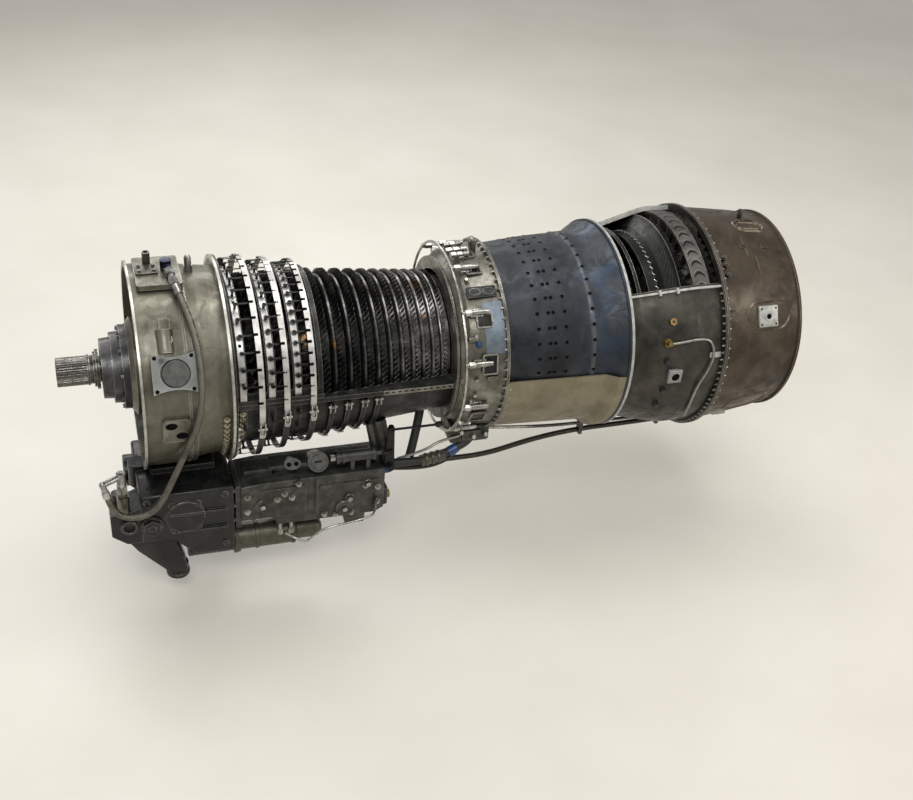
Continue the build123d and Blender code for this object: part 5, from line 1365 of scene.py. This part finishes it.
def lower_lines():
    """Pipes and hoses under the casings and round the control, and what they end in."""
    for name, (radius, finish, points) in PIPES.items():
        bent_pipe(name, points, radius, finish)
    manifold, coupling, blue, nuts = new_meshes(4)
    brick(manifold, (0.838, -0.160, -0.262), (0.955, -0.060, -0.205), 0.008)
    brick(manifold, (0.868, -0.172, -0.245), (0.925, -0.155, -0.215), 0.004)
    rod(manifold, (0.629, -0.150, -0.150), (0.655, -0.165, -0.286), 0.019, 20)
    rod(manifold, (0.604, -0.150, -0.160), (0.628, -0.165, -0.286), 0.012, 20)
    start, end = Vector((0.755, -0.160, -0.306)), Vector((0.826, -0.158, -0.296))
    rod(coupling, start, end, 0.0165, 8)
    for share in (0.20, 0.45, 0.70):
        place = start.lerp(end, share)
        rod(coupling, place, place + Vector((0.006, 0, 0.001)), 0.0185, 24)
    rod(blue, (0.838, -0.156, -0.290), (0.862, -0.153, -0.279), 0.0145, 24)
    for x, y, low, high in ((1.285, -0.062, -0.350, -0.286), (1.554, -0.036, -0.366, -0.316),
                            (1.700, -0.031, -0.366, -0.288)):
        brick(manifold, (x - 0.006, y - 0.012, low), (x + 0.006, y + 0.012, high), 0.002)
    finish_piece("drain_manifold", manifold, "control_grey")
    finish_piece("bleed_coupling", coupling, "pump_olive")
    finish_piece("hose_band", blue, "cap_blue")
    for place in ((0.862, -0.162, -0.222), (0.895, -0.174, -0.232), (0.935, -0.162, -0.236)):
        rod(nuts, place, Vector(place) + Vector((0.004, -0.012, 0.006)), 0.0065, 6)
    rod(nuts, (1.755, -0.030, -0.356), (1.795, -0.030, -0.356), 0.014, 6)
    finish_piece("scavenge_nut", nuts, "bolt_steel")


def vane_levers(row):
    """Round stems with collars, and the thin arms that reach under the ring."""
    mesh = bmesh.new()
    x, low, count = STRIP_X[row], STRIP_R[row], LEVER_COUNTS[row]
    rise = RING_R[row] - 0.0055 - low
    reach = RING_X[row] - x + 0.005
    for i in range(count):
        angle = 360.0 / count * (i + 0.5)
        if 5.0 < angle < 175.0 or (185.0 < angle < 355.0 and i % 2 == 0):
            seat = on_skin(x, low, angle)
            prism(mesh, 10, 0.0030, rise, seat)
            prism(mesh, 12, 0.0054, 0.0032, moved(seat, 0, 0, rise - 0.0032))
            arm = moved(seat, reach / 2, 0, rise - 0.0009)
            block(mesh, (reach, 0.0050, 0.0018), arm, 0.0005)
    finish_piece(f"levers_{row + 1}", mesh, "lever_dark", replaced=(f"vane_levers_{row + 1}",))


def inlet_dressing():
    """Top cover, breather, dome fitting, the pale paint patch and the flange lips."""
    cover, dome, paint, lip = new_meshes(4)
    brick(cover, (0.023, -0.021, 0.273), (0.077, 0.025, 0.280), 0.002)
    for dx in (-0.018, 0.018):
        for dy in (-0.014, 0.014):
            rod(cover, (0.050 + dx, 0.002 + dy, 0.279), (0.050 + dx, 0.002 + dy, 0.285), 0.005, 6)
    breather = [(0.010, 0.0), (0.010, 0.034), (0.0065, 0.034), (0.0065, 0.0)]
    knob(cover, (0.054, 0.040, 0.273), (0, 0, 1), breather)
    finish_piece("top_plate", cover, "pad_bronze", replaced=("top_cover",))
    seat = on_skin(0.156, 0.249, 97.0)
    prism(dome, 6, 0.012, 0.018, seat)
    turned(dome, [(0.0090, 0.017), (0.0090, 0.038), (0.0075, 0.043), (0.0042, 0.046), (0.0, 0.0465)], seat)
    finish_piece("dome_fitting", dome, "bright_steel", replaced=("pressure_fitting",))
    block(paint, (0.034, 0.046, 0.0016), on_skin(0.030, 0.2530, 45.0), 0.0005)
    finish_piece("paint_patch", paint, "patch_pale")
    for start, end, inner, outer in (
        (FRAME_END - 0.0062, FRAME_END + 0.0001, 0.2735, 0.2743),
        (FRAME_END - 0.0068, FRAME_END - 0.0058, 0.2625, 0.2743),
        (0.0001, 0.0060, 0.2727, 0.2733),
    ):
        band(lip, start, end, inner, outer, steps=120)
    finish_piece("flange_lips", lip, "band_bright")


def pad_plate(mesh, x, angle, length, width, radius, corner):
    """Thin rounded plate on the frame."""
    plate = bmesh.new()
    rounded_face(plate, length, width, corner, 6)
    raise_faces(plate, 0.0012, on_skin(x, radius, angle), keep=True)
    append_mesh(mesh, plate)


def pad_details():
    """Cover seat and holes of the mounting pad, the drain pad with its two ports, and the upright boss; the
    holes, the ports and the groove round the seat are painted shade.
    """
    plate, disc, dark, boss = new_meshes(4)
    x, angle = MOUNT_PAD
    seat = on_skin(x + 0.004, MOUNT_PAD_TOP - 0.0030, angle)
    prism(disc, 48, 0.0330, 0.0034, seat)
    turned(dark, [(0.0330, 0.0), (0.0330, 0.0036), (0.0350, 0.0036), (0.0350, 0.0)], seat, 48)
    seat = on_skin(x, MOUNT_PAD_TOP, angle)
    for dx in (-0.044, 0.044):
        for dy in (-0.041, 0.041):
            prism(dark, 14, 0.0050, 0.0006, moved(seat, dx, dy, -0.0001))
    prism(disc, 14, 0.0060, 0.0040, moved(seat, -0.028, 0.034, 0))
    x, angle = DRAIN_PAD
    pad_plate(plate, x, angle, 0.066, 0.070, DRAIN_PAD_TOP, 0.014)
    seat = on_skin(x, DRAIN_PAD_TOP, angle)
    for dx, dy in ((-0.013, 0.017), (0.012, -0.016)):
        port = moved(seat, dx, dy, 0) @ Matrix.Diagonal((0.0145, 0.0105, 1, 1))
        prism(dark, 24, 1.0, 0.0018, port)
    rod(boss, on_skin(0.069, 0.2560, 37.0).translation, on_skin(0.069, 0.2620, 50.0).translation, 0.0215, 28)
    finish_piece("drain_pad_plate", plate, "frame_tan")
    finish_piece("pad_seat_disc", disc, "cap_grey")
    finish_piece("pad_holes", dark, "recess_shade")
    finish_piece("frame_upright", boss, "frame_casting")


def liner_skin():
    """Flame tube wall that flares to its flange, with ringed dilution holes in painted shade."""
    wall = [(0.950, 0.250), (1.000, 0.254), (1.098, 0.262), (1.159, 0.265), (1.182, 0.265), (1.190, 0.268),
            (1.200, 0.266), (1.239, 0.271), (1.269, 0.290)]
    mesh, rims, dark = new_meshes(3)
    hoop(mesh, wall + [(1.282, 0.294), (1.282, 0.298), (1.289, 0.298), (1.289, 0.284), (1.279, 0.288)]
         + [(x, r - 0.003) for x, r in wall[::-1]], steps=120)
    finish_piece("flame_tube", mesh, "liner_slate", replaced=("combustion_liner",))
    for share in HOLE_ROWS:
        x = MAIN_END + share * (TURBINE_START - MAIN_END)
        for i in range(20):
            seat = on_skin(x, line_radius(wall, x) - 0.0004, 9.0 * i + 4.0)
            turned(rims, [(0.0050, 0.0), (0.0050, 0.0012), (0.0060, 0.0012), (0.0068, 0.0)], seat, 14)
            prism(dark, 14, 0.0052, 0.0011, seat)
    finish_piece("dilution_rims", rims, "liner_slate")
    finish_piece("dilution_holes", dark, "recess_shade")


def fuel_nozzle_set():
    """Twelve nozzles on their feet, each a hex, a barrel and a cap, on one manifold."""
    mesh = bmesh.new()
    for i in range(12):
        angle = -76.0 + 30.0 * i
        seat = on_skin(0.869, 0.242, angle)
        block(mesh, (0.034, 0.022, 0.018), moved(seat, 0, 0, 0.008), 0.002)
        for dx in (-0.012, 0.012):
            for dy in (-0.0075, 0.0075):
                prism(mesh, 6, 0.0030, 0.004, moved(seat, dx, dy, 0.0165))
        line = seat_at(on_skin(0.826, 0.264, angle).translation, (1, 0, 0))
        for low, high, sides, radius in (
            (0.0, 0.012, 18, 0.0062), (0.010, 0.026, 6, 0.0092), (0.026, 0.032, 18, 0.0058),
            (0.032, 0.068, 18, 0.0074), (0.068, 0.076, 18, 0.0060),
        ):
            prism(mesh, sides, radius, high - low, moved(line, 0, 0, low))
    turns = [math.radians(turn) for turn in range(0, 360, 45)]
    tube = [(0.829 + 0.004 * math.cos(turn), 0.265 + 0.004 * math.sin(turn)) for turn in turns]
    hoop(mesh, tube, steps=120)
    finish_piece("fuel_nozzle_set", mesh, "bright_steel", replaced=("fuel_nozzles", "fuel_manifold"))


def turbine_pads():
    """Square port pad with its hole in painted shade, hex plug and probe union on the turbine case."""
    mesh, brass, knobs, hole = new_meshes(4)
    seat = on_skin(TURBINE_START + 0.134, TURBINE_PADS[0], -1.4)
    block(mesh, (0.040, 0.040, 0.013), moved(seat, 0, 0, 0.005), 0.0015)
    prism(hole, 24, 0.0120, 0.0120, seat)
    turned(mesh, [(0.0120, 0.011), (0.0120, 0.0128), (0.0145, 0.0128), (0.0145, 0.011)], seat, 24)
    finish_piece("port_pad", mesh, "pad_grey", replaced=("turbine_fittings",))
    finish_piece("port_hole", hole, "recess_shade")
    seat = on_skin(TURBINE_START + 0.119, TURBINE_PADS[1], 28.5)
    prism(brass, 6, 0.011, 0.015, moved(seat, 0, 0, -0.003))
    prism(knobs, 14, 0.0042, 0.0004, moved(seat, 0, 0, 0.012))
    seat = on_skin(TURBINE_START + 0.106, TURBINE_PADS[2], 17.4)
    prism(brass, 6, 0.013, 0.012, moved(seat, 0, 0, -0.003))
    prism(brass, 16, 0.007, 0.015, moved(seat, 0, 0, 0.009))
    finish_piece("turbine_unions", brass, "brass")
    for along, angle in ((0.114, -12.0), (0.112, -24.0), (0.108, 7.0)):
        prism(knobs, 6, 0.0085, 0.012, on_skin(TURBINE_START + along, TURBINE_PADS[1] - 0.002, angle))
    finish_piece("turbine_knobs", knobs, "rubber_black")


def exhaust_port():
    """Square pad of the near exhaust port with its five holes in painted shade."""
    mesh, dark = new_meshes(2)
    seat = on_skin(EXHAUST_START + 0.136, PAD_TOP - 0.006, 26.6)
    block(mesh, (0.060, 0.060, 0.016), seat, 0.004)
    collar = [(0.0075, 0.007), (0.0075, 0.0095), (0.012, 0.0095), (0.013, 0.008), (0.013, 0.007)]
    turned(mesh, collar, seat, 24)
    prism(dark, 18, 0.0076, 0.0088, seat)
    for dx in (-0.022, 0.022):
        for dy in (-0.022, 0.022):
            prism(dark, 12, 0.0030, 0.0083, moved(seat, dx, dy, 0))
    finish_piece("exhaust_port", mesh, "bar_grey", replaced=("exhaust_pad",))
    finish_piece("exhaust_port_holes", dark, "recess_shade")


def lay_floor():
    """Plain pale floor below the engine."""
    mesh = bpy.data.meshes.new("floor")
    reach = 14.0
    level = CAD_BOUNDS[0][2] - 0.06
    corners = [(-reach, -reach, level), (reach, -reach, level), (reach, reach, level), (-reach, reach, level)]
    mesh.from_pydata(corners, [], [(0, 1, 2, 3)])
    floor = new_object("floor", mesh)
    finish = Finish("floor_pale", 0.0, 0.35)
    tone = finish.ramp(finish.noise(1.5, 4), [(0.3, (0.60, 0.575, 0.51)), (0.7, (0.66, 0.635, 0.57))])
    floor.data.materials.append(finish.done(tone))


def light_studio():
    """Four soft lamps and a pale room."""
    for name, place, size, watts, colour in (
        ("key", (-0.6, -3.6, 4.2), (3.0, 2.0), 140, (1, 1, 1)),
        ("overhead", (1.2, 0.4, 4.0), (4.5, 1.6), 110, (1, 1, 1)),
        ("right_fill", (4.2, -2.4, 1.6), (2.4, 2.0), 50, (1.0, 0.97, 0.92)),
        ("back_rim", (0.4, 3.6, 2.0), (3.5, 1.6), 60, (1, 1, 1)),
    ):
        soft_box(name, place, ENGINE_MIDDLE, size, watts, colour)
    world = bpy.data.worlds.new("room")
    world.use_nodes = True
    backdrop = world.node_tree.nodes["Background"]
    backdrop.inputs["Color"].default_value = (1.0, 0.98, 0.95, 1)
    backdrop.inputs["Strength"].default_value = 0.5
    bpy.context.scene.world = world


bpy.context.scene.view_settings.view_transform = "Standard"
aim_camera()
light_studio()
lay_floor()
finish_nodes()
front_stages()
drum_stages()
for row in range(len(RINGS)):
    vane_levers(row)
stem_strips()
vane_stems()
ring_fittings()
ring_clevises()
rear_forks()
split_flange()
flange_bolts()
lower_flange_heads()
inlet_dressing()
pad_details()
liner_skin()
fuel_nozzle_set()
top_unions()
main_frame_dressing()
turbine_dressing()
chevron_row()
turbine_wheel(1, TURBINE_START + 0.172, 0.292)
turbine_wheel(2, TURBINE_START + 0.260, 0.302)
turbine_pads()
exhaust_port()
exhaust_dressing()
gearbox()
funnel()
pump()
control()
control_covers()
linkage()
hose_fittings()
oil_hose()
lower_lines()
